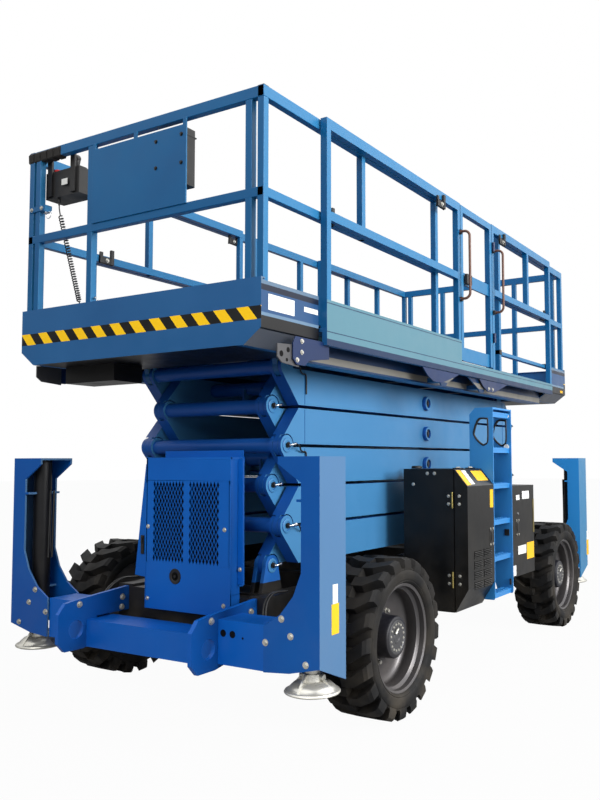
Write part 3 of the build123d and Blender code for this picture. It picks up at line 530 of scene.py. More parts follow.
# A lighter copy of the column paint: painted light on the rear columns.
REAR_LIT_BLUE = Column("rear_column_lit_blue", (44, 130, 194), (38, 122, 186), (0.3, 0.45), dust=0.05, specular=0.25,
                   side_shading=(52, 112, 152), slot="chassis_blue")
PIVOT_BLUE = Pivot("pivot_blue", (16, 16, 18), (12, 12, 13), (0.35, 0.55), dust=0.12, slot="black_paint")
LADDER_BLUE = Finish("ladder_blue", (52, 128, 190), (44, 118, 180), (0.3, 0.45), dust=0.04, specular=0.3,
                     slot="chassis_blue")
ARM_BLUE = Finish("arm_blue", (22, 78, 152), (16, 68, 142), (0.3, 0.45), dust=0.03, specular=0.25,
                  side_shading=(58, 114, 158), slot="chassis_blue")
# The level strips in PLATFORM_BLUE and HAZARD_BLUE are painted light and shade of the deck edge's folds and channels.
PLATFORM_BLUE = Banded("platform_blue", (24, 88, 140), (18, 78, 130), (0.3, 0.45), specular=0.3,
                       side_shading=(76, 116, 130), slot="platform_blue",
                       fold_shading=((2.188, 2.193, (8, 40, 70)), (2.038, 2.043, (8, 40, 70)), (1.935, 2.003, (6, 34, 66)),
                              (1.896, 1.935, (104, 102, 96)), (1.700, 1.896, (8, 40, 74))))
HAZARD_BLUE = Hazard("hazard_blue", (30, 90, 142), (24, 82, 134), (0.3, 0.45), specular=0.3, side_shading=(30, 66, 106),
                     slot="platform_blue",
                     fold_shading=((2.206, 2.260, (84, 106, 128)), (2.177, 2.206, (4, 16, 38)), (2.056, 2.072, (90, 116, 140)),
                            (1.992, 2.056, (7, 7, 9)), (1.700, 1.992, (80, 84, 92))))
RAIL_BLUE = Railing("rail_blue", (8, 90, 140), (4, 80, 130), (0.28, 0.44), specular=0.25, side_shading=(36, 104, 148),
                    slot="platform_blue")
HOOD_BLACK = Finish("hood_black", (12, 11, 11), (9, 9, 9), (0.28, 0.42), dust=0.08, specular=0.3, slot="black_paint")
FRAME_BLACK = Finish("frame_black", (14, 14, 15), (10, 10, 11), (0.35, 0.5), dust=0.12, slot="black_paint")
# Near-black: painted shade in holes, recesses and behind the grilles, and the real black of the toggle caps.
SHADE_AND_BLACK = Finish("painted_shade_and_black", (5, 5, 6), (4, 4, 4), (0.6, 0.8), grain=600, relief=0.3, specular=0.1, slot="black_paint")
RUBBER = Finish("tyre_rubber", (13, 13, 14), (9, 9, 10), (0.6, 0.85), grain=700, relief=0.2, dust=0.12, specular=0.2,
                slot="tyre_rubber")
RIM_GREY = Finish("rim_grey", (84, 82, 83), (70, 68, 70), (0.3, 0.45), metallic=0.6, dust=0.1, slot="rim_grey")
DRUM_GREY = Finish("drum_grey", (16, 18, 28), (12, 13, 21), (0.35, 0.5), dust=0.06, slot="rim_grey")
HUB_GREY = Finish("hub_grey", (84, 84, 86), (66, 66, 68), (0.3, 0.5), metallic=0.5, slot="rim_grey")
ZINC = Finish("zinc_plate", (200, 198, 190), (172, 170, 162), (0.22, 0.42), metallic=0.65, grain=120, relief=0.12,
              slot="plated_steel")
CHROME = Finish("rod_chrome", (210, 212, 214), (195, 197, 200), (0.08, 0.18), metallic=1.0, relief=0.02,
                slot="rod_chrome")
PLASTIC = Finish("black_plastic", (22, 21, 21), (17, 17, 17), (0.4, 0.6), grain=900, relief=0.15)
FOAM = Finish("foam_pad", (40, 38, 37), (32, 31, 30), (0.7, 0.9), grain=1400, relief=0.3, specular=0.2)
RED = Finish("stop_red", (190, 26, 22), (170, 20, 18), (0.3, 0.4))
YELLOW = Finish("plate_yellow", (232, 180, 24), (222, 170, 20), (0.35, 0.5))
WHITE = Finish("plate_white", (222, 222, 218), (212, 212, 208), (0.35, 0.5))
HINGE_ZINC = Finish("hinge_zinc", (176, 160, 96), (150, 136, 84), (0.28, 0.45), metallic=1.0, slot="plated_steel")
CORD_BLACK = Finish("cord_black", (16, 16, 17), (12, 12, 13), (0.35, 0.5), grain=1500, relief=0.1)


# ---- Shapes -----------------------------------------------------------------------------


@dataclass
class Shape:
    """Points and faces of a mesh, as arrays.

    Attributes:
        points: One row of X, Y and Z for each point.
        faces: Arrays of faces, one array for each number of corners.
    """

    points: np.ndarray
    faces: list[np.ndarray] = field(default_factory=list)

    def moved(self, shift: Point) -> "Shape":
        """The shape shifted along X, Y and Z."""
        return Shape(self.points + np.array(shift), self.faces)

    def tiled(self, shifts: np.ndarray) -> "Shape":
        """Copies of the shape, one at each row of shifts.

        Args:
            shifts: Rows of X, Y and Z.

        Returns:
            All the copies as one shape.
        """
        count, size = len(shifts), len(self.points)
        points = (self.points[None] + np.asarray(shifts, float)[:, None]).reshape(-1, 3)
        step = (np.arange(count) * size)[:, None, None]
        return Shape(points, [(rows[None] + step).reshape(-1, rows.shape[1]) for rows in self.faces])

    def mirrored(self, axis: Axis) -> "Shape":
        """The shape reflected in a middle plane, with its faces turned the right way out.

        Args:
            axis: The axis across the plane.

        Returns:
            The reflected shape.
        """
        points = self.points.copy()
        points[:, axis.value] *= -1
        return Shape(points, [rows[:, ::-1] for rows in self.faces])


def joined(*shapes: Shape) -> Shape:
    """Several shapes as one, without welding them.

    Args:
        *shapes: The shapes.

    Returns:
        All their points and faces.
    """
    points, faces, start = [], [], 0
    for shape in shapes:
        points.append(shape.points)
        faces += [rows + start for rows in shape.faces]
        start += len(shape.points)
    return Shape(np.concatenate(points), faces)


def quads(rows: int, columns: int, wrap_rows: bool, wrap_columns: bool) -> np.ndarray:
    """Corner numbers of the four-sided faces of a grid: (i, j), (i + 1, j), (i + 1, j + 1) and (i, j + 1).

    Args:
        rows: Number of rows of points.
        columns: Number of points in a row.
        wrap_rows: Whether the last row joins the first.
        wrap_columns: Whether a row's last point joins its first.

    Returns:
        One row of four corner numbers for each face.
    """
    i = np.arange(rows if wrap_rows else rows - 1)[:, None]
    j = np.arange(columns if wrap_columns else columns - 1)[None]
    a, b = i * columns + j, ((i + 1) % rows) * columns + j
    next_j = (j + 1) % columns
    c, d = ((i + 1) % rows) * columns + next_j, i * columns + next_j
    return np.stack([a, b, c, d], axis=-1).reshape(-1, 4)


def onto(axis: Axis, u: np.ndarray, v: np.ndarray, w: np.ndarray) -> np.ndarray:
    """Points whose w runs along the axis and whose u and v follow it in turn.

    Args:
        axis: Direction of w.
        u: Places along the axis after it.
        v: Places along the axis after that.
        w: Places along the axis.

    Returns:
        The places with X, Y and Z in their last dimension.
    """
    columns = [None, None, None]
    columns[axis.value] = w
    columns[(axis.value + 1) % 3] = u
    columns[(axis.value + 2) % 3] = v
    return np.stack(np.broadcast_arrays(*columns), axis=-1)


def turned(profile: list[tuple[float, float]], axis: Axis, centre: Point, segments: int = 48) -> Shape:
    """A profile turned about an axis: each point is (r cos a, r sin a) round the axis, at height h.

    Args:
        profile: Rows of radius and height along the axis.
        axis: The axis of turning.
        centre: Where height and radius are nought.
        segments: Number of steps round.

    Returns:
        The turned surface, closed where the profile meets the axis.
    """
    rows = np.array(profile, float)
    angle = np.arange(segments) / segments * tau
    u = rows[:, 0][:, None] * np.cos(angle)[None]
    v = rows[:, 0][:, None] * np.sin(angle)[None]
    w = np.broadcast_to(rows[:, 1][:, None], u.shape)
    points = onto(axis, u, v, w).reshape(-1, 3) + np.array(centre)
    return Shape(points, [quads(len(rows), segments, False, True)[:, ::-1]])


def prism(outline: list[tuple[float, float]], axis: Axis, low: float, high: float) -> Shape:
    """A flat outline drawn out along an axis: point n of the outline at w = low and w = high.

    Args:
        outline: Corners in the two other axes, in turn after the given one.
        axis: Direction of drawing out.
        low: Start along the axis.
        high: End along the axis.

    Returns:
        The closed solid.
    """
    rows = np.array(outline, float)
    area = np.sum(rows[:, 0] * np.roll(rows[:, 1], -1) - np.roll(rows[:, 0], -1) * rows[:, 1])
    if area < 0:
        rows = rows[::-1]
    count = len(rows)
    u = np.tile(rows[:, 0], 2)
    v = np.tile(rows[:, 1], 2)
    w = np.repeat([low, high], count)
    n = np.arange(count)
    sides = np.stack([n, (n + 1) % count, (n + 1) % count + count, n + count], axis=-1)
    return Shape(onto(axis, u, v, w), [sides, n[None, ::-1], (n + count)[None]])


def block(x: tuple[float, float], y: tuple[float, float], z: tuple[float, float]) -> Shape:
    """A box between a lower and an upper bound on each of X, Y and Z."""
    return prism([(x[0], y[0]), (x[1], y[0]), (x[1], y[1]), (x[0], y[1])], Axis.Z, *z)


def ring(centre: tuple[float, float], radius: float, count: int) -> list[tuple[float, float]]:
    """Corners of a regular outline: centre plus radius times (cos a, sin a) at equal angles a.

    Args:
        centre: Place of the middle.
        radius: Distance of the corners.
        count: Number of corners.

    Returns:
        The corners in order.
    """
    angle = np.arange(count) / count * tau
    return list(zip(centre[0] + radius * np.cos(angle), centre[1] + radius * np.sin(angle)))


def tube(path: np.ndarray, radius: float, sides: int = 10) -> Shape:
    """A round tube along a path: at each point a ring of r cos a, r sin a across the path's direction.

    Args:
        path: Rows of X, Y and Z.
        radius: Radius of the tube.
        sides: Number of sides of the tube.

    Returns:
        The tube with both ends closed.
    """
    path = np.asarray(path, float)
    ahead = np.gradient(path, axis=0)
    ahead /= np.linalg.norm(ahead, axis=1, keepdims=True)
    spread = path.max(axis=0) - path.min(axis=0)
    across = np.cross(ahead, np.eye(3)[int(np.argmin(spread))])
    across /= np.linalg.norm(across, axis=1, keepdims=True)
    other = np.cross(ahead, across)
    angle = np.arange(sides) / sides * tau
    rings = (path[:, None] + radius * (np.cos(angle)[None, :, None] * across[:, None]
                                       + np.sin(angle)[None, :, None] * other[:, None]))
    count = len(path)
    caps = np.arange(sides)
    return Shape(rings.reshape(-1, 3), [quads(count, sides, False, True)[:, ::-1], caps[None, ::-1],
                                        (caps + (count - 1) * sides)[None]])


def smooth_path(corners: np.ndarray, steps: int) -> np.ndarray:
    """A smooth line through the given points, by cubic weights on four neighbours at a time.

    Args:
        corners: Rows of X, Y and Z.
        steps: Number of steps between two points.

    Returns:
        Rows of X, Y and Z along the line.
    """
    grid = np.concatenate([2 * corners[:1] - corners[1:2], corners, 2 * corners[-1:] - corners[-2:-1]])
    t = (np.arange(steps) / steps)[None, :, None]
    a, b, c, d = (grid[k:len(grid) - 3 + k][:, None] for k in range(4))
    line = 0.5 * (2 * b + (c - a) * t + (2 * a - 5 * b + 4 * c - d) * t ** 2 + (3 * b - a - 3 * c + d) * t ** 3)
    return np.concatenate([line.reshape(-1, 3), corners[-1:]])


def bolt_head(axis: Axis, out: float, radius: float, height: float) -> Shape:
    """A six-sided head with a chamfered crown on a thin washer, standing on the origin.

    Args:
        axis: The screw's axis.
        out: One where the head looks along the axis, minus one where it looks back.
        radius: Distance of the head's corners.
        height: Height of the crown.

    Returns:
        The head and its washer.
    """
    washer = prism(ring((0, 0), radius * 1.35, 16), axis, *sorted((-0.001, out * height * 0.2)))
    head = prism(ring((0, 0), radius, 6), axis, *sorted((0.0, out * height * 0.8)))
    crown = prism(ring((0, 0), radius * 0.82, 12), axis, *sorted((out * height * 0.5, out * height)))
    return joined(washer, head, crown)


def bolts(places: list[Point], axis: Axis, out: float, radius: float = 0.011, height: float = 0.010) -> Shape:
    """Bolt heads that all face along one axis.

    Args:
        places: Middle of each head's seat.
        axis: The axis of the screws.
        out: One where the heads look along the axis, minus one where they look back.
        radius: Distance of a head's corners.
        height: Height of a head.

    Returns:
        All the heads as one shape.
    """
    return bolt_head(axis, out, radius, height).tiled(np.array(places, float))


def new_piece(name: str, shape: Shape, finish: Finish, body: str, smooth: float = 35.0, bevel: float = 0.0,
              closed: bool = True) -> bpy.types.Object:
    """Makes a mesh object of a shape, dresses it and lets it ride on a body.

    Args:
        name: The piece's name.
        shape: Its points and faces, in metres at rest.
        finish: Its finish.
        body: The body that carries it.
        smooth: Angle in degrees under which edges are shaded smooth.
        bevel: Width of a bevel on its sharp edges, or nought.
        closed: Whether its parts are closed, so that their faces can be turned outwards.

    Returns:
        The new object.
    """
    mesh = bpy.data.meshes.new(name)
    mesh.from_pydata(shape.points.tolist(), [], [face for rows in shape.faces for face in rows.tolist()])
    if closed:
        work = bmesh.new()
        work.from_mesh(mesh)
        bmesh.ops.remove_doubles(work, verts=work.verts, dist=1e-6)
        bmesh.ops.recalc_face_normals(work, faces=work.faces)
        work.to_mesh(mesh)
        work.free()
    mesh.validate()
    mesh.shade_smooth()
    mesh.set_sharp_from_angle(angle=radians(smooth))
    piece = bpy.data.objects.new(name, mesh)
    bpy.context.collection.objects.link(piece)
    mesh.materials.append(finish.material())
    if bevel:
        edge = piece.modifiers.new("edges", "BEVEL")
        edge.width, edge.segments, edge.limit_method = bevel, 2, "ANGLE"
        edge.harden_normals = True
    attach(piece, body)
    return piece


def both_sides(shape: Shape) -> Shape:
    """The shape and its reflection in the plane between left and right."""
    return joined(shape, shape.mirrored(Axis.Y))


def dress(finish: Finish, *names: str) -> None:
    """Gives CAD nodes a finish through their objects' material slots.

    Args:
        finish: The finish.
        names: Names of nodes, or starts of names that end in a star.
    """
    for name in names:
        for node, piece in NODES.items():
            if node == name or (name.endswith("*") and node.startswith(name[:-1])):
                for slot in piece.material_slots:
                    slot.link = "OBJECT"
                    slot.material = finish.material()


# ---- Stage ------------------------------------------------------------------------------


@dataclass
class Stage:
    """Camera, lamps, world and floor.

    Attributes:
        eye: The camera's place.
        yaw: Direction of sight round Z, as an angle in radians.
        pitch: Upward tilt of the line of sight.
        roll: Turn about the line of sight.
        lens: Focal length on a 36 mm long side.
        shift: Shift of the film along X and Y.
        lamps: Name, place, target, size and power of each lamp.
        sky: Strength of the sky as a light.
        gleam: Direction, lowest and highest value of it, and strength at both, of the sky in reflections.
        grey: Grey of the floor.
        clear: Share of plain white in what the camera sees of the floor.
        mirror: Share of plain white in what reflections see of it.
    """

    eye: Point = (5.3566, 3.2103, 1.3688)
    yaw: float = 0.54384
    pitch: float = 0.06348
    roll: float = 0.00297
    lens: float = 36.815
    shift: tuple[float, float] = (-0.0711, 0.0119)
    lamps: tuple[tuple[str, Point, Point, float, float], ...] = (
        ("side_lamp", (1.0, 9.5, 4.5), (0, 0, 1.4), 5.0, 1350),
        ("front_lamp", (9.5, 2.0, 5.5), (0.5, 0, 1.6), 4.5, 330), ("top_lamp", (0.0, 0.0, 9.0), (0, 0, 0), 6.0, 260))
    sky: float = 0.5
    gleam: tuple[tuple[str, float, float, float, float], ...] = (("Y", -0.6, 0.5, 0.2, 1.2), ("Z", 0.15, 0.5, 0.0, 1.6))
    grey: float = 0.34
    clear: float = 0.965
    mirror: float = 0.1

    def camera(self) -> None:
        """Looks from the eye towards the machine and makes this the scene's camera."""
        data = bpy.data.cameras.new("camera")
        data.lens, data.sensor_width, data.sensor_fit = self.lens, 36.0, "AUTO"
        data.shift_x, data.shift_y = self.shift
        data.clip_start, data.clip_end = 0.1, 200.0
        look = Vector((-cos(self.yaw) * cos(self.pitch), -sin(self.yaw) * cos(self.pitch), sin(self.pitch)))
        piece = bpy.data.objects.new("camera", data)
        turn = look.to_track_quat("-Z", "Y").to_matrix().to_4x4() @ Matrix.Rotation(-self.roll, 4, "Z")
        piece.matrix_world = Matrix.Translation(self.eye) @ turn
        bpy.context.collection.objects.link(piece)
        bpy.context.scene.camera = piece

    def lamp(self, name: str, place: Point, target: Point, size: float, power: float) -> None:
        """A soft square lamp.

        Args:
            name: Its name.
            place: Where it hangs.
            target: What it faces.
            size: Length of its sides.
            power: Its power in watts.
        """
        data = bpy.data.lights.new(name, "AREA")
        data.size, data.energy = size, power
        piece = bpy.data.objects.new(name, data)
        turn = (Vector(target) - Vector(place)).to_track_quat("-Z", "Y").to_matrix().to_4x4()
        piece.matrix_world = Matrix.Translation(place) @ turn
        bpy.context.collection.objects.link(piece)

    def world(self) -> None:
        """A grey sky as light, white to the camera, and in reflections bright on the left and above."""
        world = bpy.data.worlds.new("studio")
        bpy.context.scene.world = world
        world.use_nodes = True
        tree = world.node_tree
        background = tree.nodes["Background"]
        path = tree.nodes.new("ShaderNodeLightPath")
        place = tree.nodes.new("ShaderNodeTexCoord")
        parts = tree.nodes.new("ShaderNodeSeparateXYZ")
        tree.links.new(place.outputs["Generated"], parts.inputs[0])
        mirrored = tree.nodes.new("ShaderNodeMath")
        mirrored.operation = "ADD"
        for socket, (key, low, high, least, most) in zip(mirrored.inputs, self.gleam):
            share = tree.nodes.new("ShaderNodeMapRange")
            for name, number in (("From Min", low), ("From Max", high), ("To Min", least), ("To Max", most)):
                share.inputs[name].default_value = number
            tree.links.new(parts.outputs[key], share.inputs["Value"])
            tree.links.new(share.outputs["Result"], socket)
        dim, clear = tree.nodes.new("ShaderNodeMix"), tree.nodes.new("ShaderNodeMix")
        dim.inputs[2].default_value, clear.inputs[3].default_value = self.sky, 1.0
        tree.links.new(path.outputs["Is Glossy Ray"], dim.inputs[0])
        tree.links.new(mirrored.outputs[0], dim.inputs[3])
        tree.links.new(path.outputs["Is Camera Ray"], clear.inputs[0])
        tree.links.new(dim.outputs[0], clear.inputs[2])
        tree.links.new(clear.outputs[0], background.inputs["Strength"])
        background.inputs["Color"].default_value = (1, 1, 1, 1)

    def floor(self) -> None:
        """A wide pale floor that keeps the machine's shadow and is nearly white to the camera."""
        shape = turned([(0.0, 0.0), (6.0, 0.0), (14.0, 0.0), (60.0, 0.0)], Axis.Z, (0, 0, -0.002), 64)
        mesh = bpy.data.meshes.new("floor")
        mesh.from_pydata(shape.points.tolist(), [], shape.faces[0].tolist())
        piece = bpy.data.objects.new("floor", mesh)
        bpy.context.collection.objects.link(piece)
        graph = Graph("floor")
        for key, value in (("Base Color", (self.grey, self.grey, self.grey, 1)), ("Roughness", 0.9),
                           ("Specular IOR Level", 0.1)):
            graph.link(value, graph.shader.inputs[key])
        glow = graph.node("ShaderNodeEmission")
        path = graph.node("ShaderNodeLightPath")
        seen = graph.math("MULTIPLY", path.outputs["Is Camera Ray"], self.clear)
        mirrored = graph.math("MULTIPLY", path.outputs["Is Glossy Ray"], self.mirror)
        blend = graph.node("ShaderNodeMixShader")
        graph.link(graph.math("ADD", seen, mirrored), blend.inputs[0])
        graph.link(graph.shader.outputs[0], blend.inputs[1])
        graph.link(glow.outputs[0], blend.inputs[2])
        graph.link(blend.outputs[0], graph.tree.nodes["Material Output"].inputs["Surface"])
        mesh.materials.append(graph.material)

    def build(self) -> None:
        """Makes the camera, the light and the floor."""
        self.camera()
        for lamp in self.lamps:
            self.lamp(*lamp)
        self.world()
        self.floor()
        bpy.context.scene.view_settings.view_transform = "Standard"


@dataclass
class NodeFinishes:
    """The finishes of the CAD nodes that show as they are.

    Attributes:
        rows: Each finish with the nodes that it dresses, the general names first.
    """

    rows: tuple[tuple[Finish, tuple[str, ...]], ...] = (
        (CHASSIS_BLUE, ("*",)), (COLUMN_BLUE, ("outrigger_*",)), (REAR_LIT_BLUE, ("outrigger_rear_*",)),
        (LADDER_BLUE, ("ladder",)), (ARM_BLUE, ("arm_*",)), (PLATFORM_BLUE, ("platform_deck",)),
        (RAIL_BLUE, ("main_rails", "entry_gate", "front_extension_rails", "rear_extension_rails")),
        (HAZARD_BLUE, ("front_extension_deck", "rear_extension_deck")), (PIVOT_BLUE, ("chassis_frame",)),
        (FRAME_BLACK, ("slide_tracks", "front_axle", "rear_axle", "knuckle_*", "tie_rod", "engine_block")),
        (HOOD_BLACK, ("left_bay*", "right_bay*", "rear_bay*", "lift_barrel_*")), (RUBBER, ("tyre_*",)),
        (RIM_GREY, ("rim_*",)), (ZINC, ("leg_*",)), (CHROME, ("lift_rod_*",)),
        (PLASTIC, ("control_box", "document_box")))

    def build(self) -> None:
        """Dresses every node."""
        for finish, names in self.rows:
            dress(finish, *names)


@dataclass
class CurlyCord:
    """The curly cord from under the control box to the socket behind the front panel.

    Attributes:
        top_tail: Points from the box down to the coil.
        low_tail: Points from the coil to the socket.
        ends: Upper and lower end of the coil's axis.
        coil: Distance of the cord's middle line from the coil's axis.
        bore: Radius of the cord.
        turns: Number of turns of the coil.
        steps: Number of points in a turn.
        sag: Share of the coil's length over which its turns draw together.
        length: Length of the whole cord along its middle line; not used.
    """

    top_tail: tuple[Point, ...] = ((2.238, -0.704, 2.886), (2.238, -0.704, 2.8472))
    low_tail: tuple[Point, ...] = ((2.243, -0.497, 2.227), (2.252, -0.485, 2.158), (2.286, -0.485, 2.150),
                                   (2.306, -0.485, 2.150))
    ends: tuple[Point, Point] = ((2.240, -0.690, 2.811), (2.240, -0.512, 2.277))
    coil: float = 0.0115
    bore: float = 0.0035
    turns: int = 35
    steps: int = 12
    sag: float = 0.45
    length: float = 2.72

    def helix(self) -> np.ndarray:
        """Points of the coil.

        Point k lies at the reach times (cos a, sin a) across the axis, where a is k steps of a turn. The turns draw
        together towards the lower end, where less weight hangs on them, and the reach grows smoothly from nothing to
        the whole coil over the first turn and shrinks over the last one.

        Returns:
            Rows of X, Y and Z from the upper end to the lower one.
        """
        start, stop = np.array(self.ends)
        ahead = (stop - start) / np.linalg.norm(stop - start)
        side = np.array((1.0, 0.0, 0.0))
        other = np.cross(ahead, side)
        count = self.turns * self.steps
        k = np.arange(count + 1)
        share = k / count
        down = self.sag * (1 - (1 - share) ** 1.3) + (1 - self.sag) * share
        ease = np.minimum(1.0, np.minimum(k + 1, count - k + 1) / (self.steps + 1))
        reach = self.coil * ease ** 2 * (3 - 2 * ease)
        angle = k / self.steps * tau
        around = np.cos(angle)[:, None] * side + np.sin(angle)[:, None] * other
        return start + down[:, None] * (stop - start) + reach[:, None] * around

    def relief(self, name: str, axis: Axis, place: Point, out: float) -> bpy.types.Object:
        """A ribbed sleeve that tapers along the cord, from 8 mm at the housing to 4.5 mm at its tip.

        Args:
            name: The piece's name.
            axis: The cord's direction where it leaves.
            place: Middle of the sleeve's root.
            out: One where the sleeve runs along the axis, minus one where it runs back.

        Returns:
            The sleeve.
        """
        rows = [(0.0, 0.0), (0.0085, 0.0), (0.0085, out * 0.005)]
        for rib in range(6):
            radius, groove = 0.0078 - 0.0005 * rib, 0.0062 - 0.0005 * rib
            start = 0.0055 + 0.0055 * rib
            rows += [(radius, out * start), (radius, out * (start + 0.0032)), (groove, out * (start + 0.0036)),
                     (groove, out * (start + 0.0052))]
        rows += [(0.0045, out * 0.0400), (0.0, out * 0.0402)]
        return new_piece(name, turned(rows, axis, place, 20), PLASTIC, "front_extension")

    def build(self) -> None:
        """Makes the cord as one spline, and a sleeve at each of its ends."""
        points = np.concatenate([self.top_tail, self.helix(), self.low_tail])
        curve = bpy.data.curves.new("curly_cord", "CURVE")
        curve.dimensions = "3D"
        curve.bevel_depth, curve.bevel_resolution, curve.resolution_u = self.bore, 2, 2
        curve.use_fill_caps = True
        spline = curve.splines.new("NURBS")
        spline.points.add(len(points) - 1)
        spline.points.foreach_set("co", np.column_stack([points, np.ones(len(points))]).ravel())
        spline.order_u = 3
        spline.use_endpoint_u = True
        piece = bpy.data.objects.new("curly_cord", curve)
        bpy.context.collection.objects.link(piece)
        curve.materials.append(CORD_BLACK.material())
        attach(piece, "front_extension")
        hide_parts("cord_coil", "cord_tails")
        upper = self.relief("cord_sleeve_upper", Axis.Z, (2.238, -0.704, 2.9055), -1)
        lower = self.relief("cord_sleeve_lower", Axis.X, (2.3058, -0.485, 2.150), -1)


@dataclass
class Wheel:
    """One wheel: tyre with its lugs, dished rim, hub drum, nuts and valve.

    Attributes:
        corner: The corner that it stands at, such as front_left.
        side: One on the left, minus one on the right.
        lugs: Number of lugs on each half of the tread.
        crown: Radius of the tread at which a lug's lead is measured.
        nuts: Number and circle of the wheel nuts.
        screws: Number and circle of the hub's screws.
    """

    corner: str
    side: int
    lugs: int = 20
    crown: float = 0.42
    nuts: tuple[int, float] = (9, 0.140)
    screws: tuple[int, float] = (16, 0.070)

    CARCASS = ((0.284, 0.1275), (0.290, 0.1400), (0.296, 0.1470), (0.300, 0.1500), (0.303, 0.1480), (0.306, 0.1510),
               (0.316, 0.1560), (0.340, 0.1568), (0.352, 0.1560), (0.358, 0.1525), (0.361, 0.1490), (0.364, 0.1530),
               (0.368, 0.1500), (0.372, 0.1400), (0.377, 0.1100), (0.380, 0.0000))
    # Y and radius at the foot, Y and radius at the top, lead along the tread, width at the foot and at the top
    LUG = ((-0.012, 0.374, -0.008, 0.4270, 0.030, 0.072, 0.060), (0.058, 0.374, 0.060, 0.4270, 0.026, 0.073, 0.061),
           (0.126, 0.364, 0.134, 0.4255, -0.024, 0.079, 0.067), (0.144, 0.354, 0.1520, 0.4120, -0.035, 0.082, 0.070),
           (0.148, 0.350, 0.1573, 0.3760, -0.037, 0.082, 0.075))
    RIM = ((0.270, 0.104), (0.272, 0.130), (0.284, 0.136), (0.290, 0.133), (0.290, 0.122), (0.276, 0.110),
           (0.266, 0.094), (0.257, 0.088), (0.253, 0.045), (0.257, 0.036), (0.253, 0.022), (0.241, 0.010),
           (0.215, 0.002), (0.175, -0.004), (0.150, -0.005), (0.000, -0.005))
    BACK = ((0.000, -0.012), (0.215, -0.012), (0.247, -0.030), (0.256, -0.090), (0.270, -0.112), (0.272, -0.130),
            (0.284, -0.132), (0.290, -0.128), (0.290, -0.110))
    DRUM = ((0.122, -0.005), (0.122, 0.006), (0.116, 0.010), (0.112, 0.090), (0.108, 0.0985), (0.098, 0.1035),
            (0.091, 0.1045))
    FACE = ((0.091, 0.1040), (0.089, 0.1062), (0.080, 0.1062), (0.078, 0.1045), (0.036, 0.1040), (0.034, 0.1058),
            (0.022, 0.1062), (0.020, 0.1040), (0.000, 0.1040))

    def tread(self, start: float) -> Shape:
        """The lugs of one half of the tread.

        A lug is a ribbon of four-cornered sections from the middle of the tread over the shoulder and down the
        side wall. In each section the corners lie half the foot's and half the top's width to each side of the
        lead, as angles about the axle, at the foot's and the top's radius.

        Args:
            start: Angle of the first lug.

        Returns:
            All the lugs of the half with positive Y.
        """
        y_foot, r_foot, y_top, r_top, lead, w_foot, w_top = np.array(self.LUG).T
        centre = lead / self.crown
        corners = np.array([-0.5, -0.5, 0.5, 0.5])
        width = np.stack([w_foot, w_top, w_top, w_foot], axis=-1)
        radius = np.stack([r_foot, r_top, r_top, r_foot], axis=-1)
        y = np.stack([y_foot, y_top, y_top, y_foot], axis=-1)
        angle = centre[:, None] + corners[None] * width / radius
        turn = start + np.arange(self.lugs) / self.lugs * tau
        angle = angle[None] + turn[:, None, None]
        points = np.stack([radius * np.sin(angle), np.broadcast_to(y, angle.shape), radius * np.cos(angle)], axis=-1)
        rows = len(self.LUG)
        one = Shape(np.zeros((rows * 4, 3)), [quads(rows, 4, False, True), np.array([[3, 2, 1, 0]]),
                                              np.array([[0, 1, 2, 3]]) + (rows - 1) * 4])
        return Shape(points.reshape(-1, 3), one.tiled(np.zeros((self.lugs, 3))).faces)

    def tyre(self) -> Shape:
        """Both halves of the carcass and its lugs, half a pitch apart.

        Returns:
            The tyre about the origin.
        """
        outer = list(self.CARCASS)
        inner = [(radius, -y) for radius, y in reversed(outer[:-1])]
        bead = [(0.277, -0.120), (0.277, 0.120), outer[0]]
        carcass = turned([*outer, *inner, *bead], Axis.Y, (0, 0, 0), 96)
        far = self.tread(0.5 / self.lugs * tau)
        return joined(carcass, self.tread(0.0), far.mirrored(Axis.Y))

    def circle(self, head: Shape, count: int, radius: float, y: float, start: float) -> Shape:
        """Heads round the axle: head k lies at radius times (cos a, sin a), where a is k + start steps of a turn.

        Args:
            head: One head on the origin.
            count: Number of heads.
            radius: Radius of their circle.
            y: Place of their seats along the axle.
            start: Place of the first one, in steps.

        Returns:
            All the heads as one shape.
        """
        angles = (np.arange(count) + start) / count * tau
        return head.tiled(np.stack([radius * np.cos(angles), np.full(count, y), radius * np.sin(angles)], axis=-1))

    def fixings(self) -> Shape:
        """Wheel nuts round the drum's foot, screws on the hub's face, and a small lever on it.

        Returns:
            The fixings about the origin.
        """
        nuts = self.circle(bolt_head(Axis.Y, 1, 0.012, 0.022), *self.nuts, -0.005, 0.0)
        screws = self.circle(bolt_head(Axis.Y, 1, 0.0048, 0.004), *self.screws, 0.1045, 0.5)
        arm = tube(np.array([(0.004, 0.112, 0.046), (0.020, 0.115, 0.040), (0.036, 0.115, 0.024)]), 0.006)
        return joined(nuts, screws, arm)

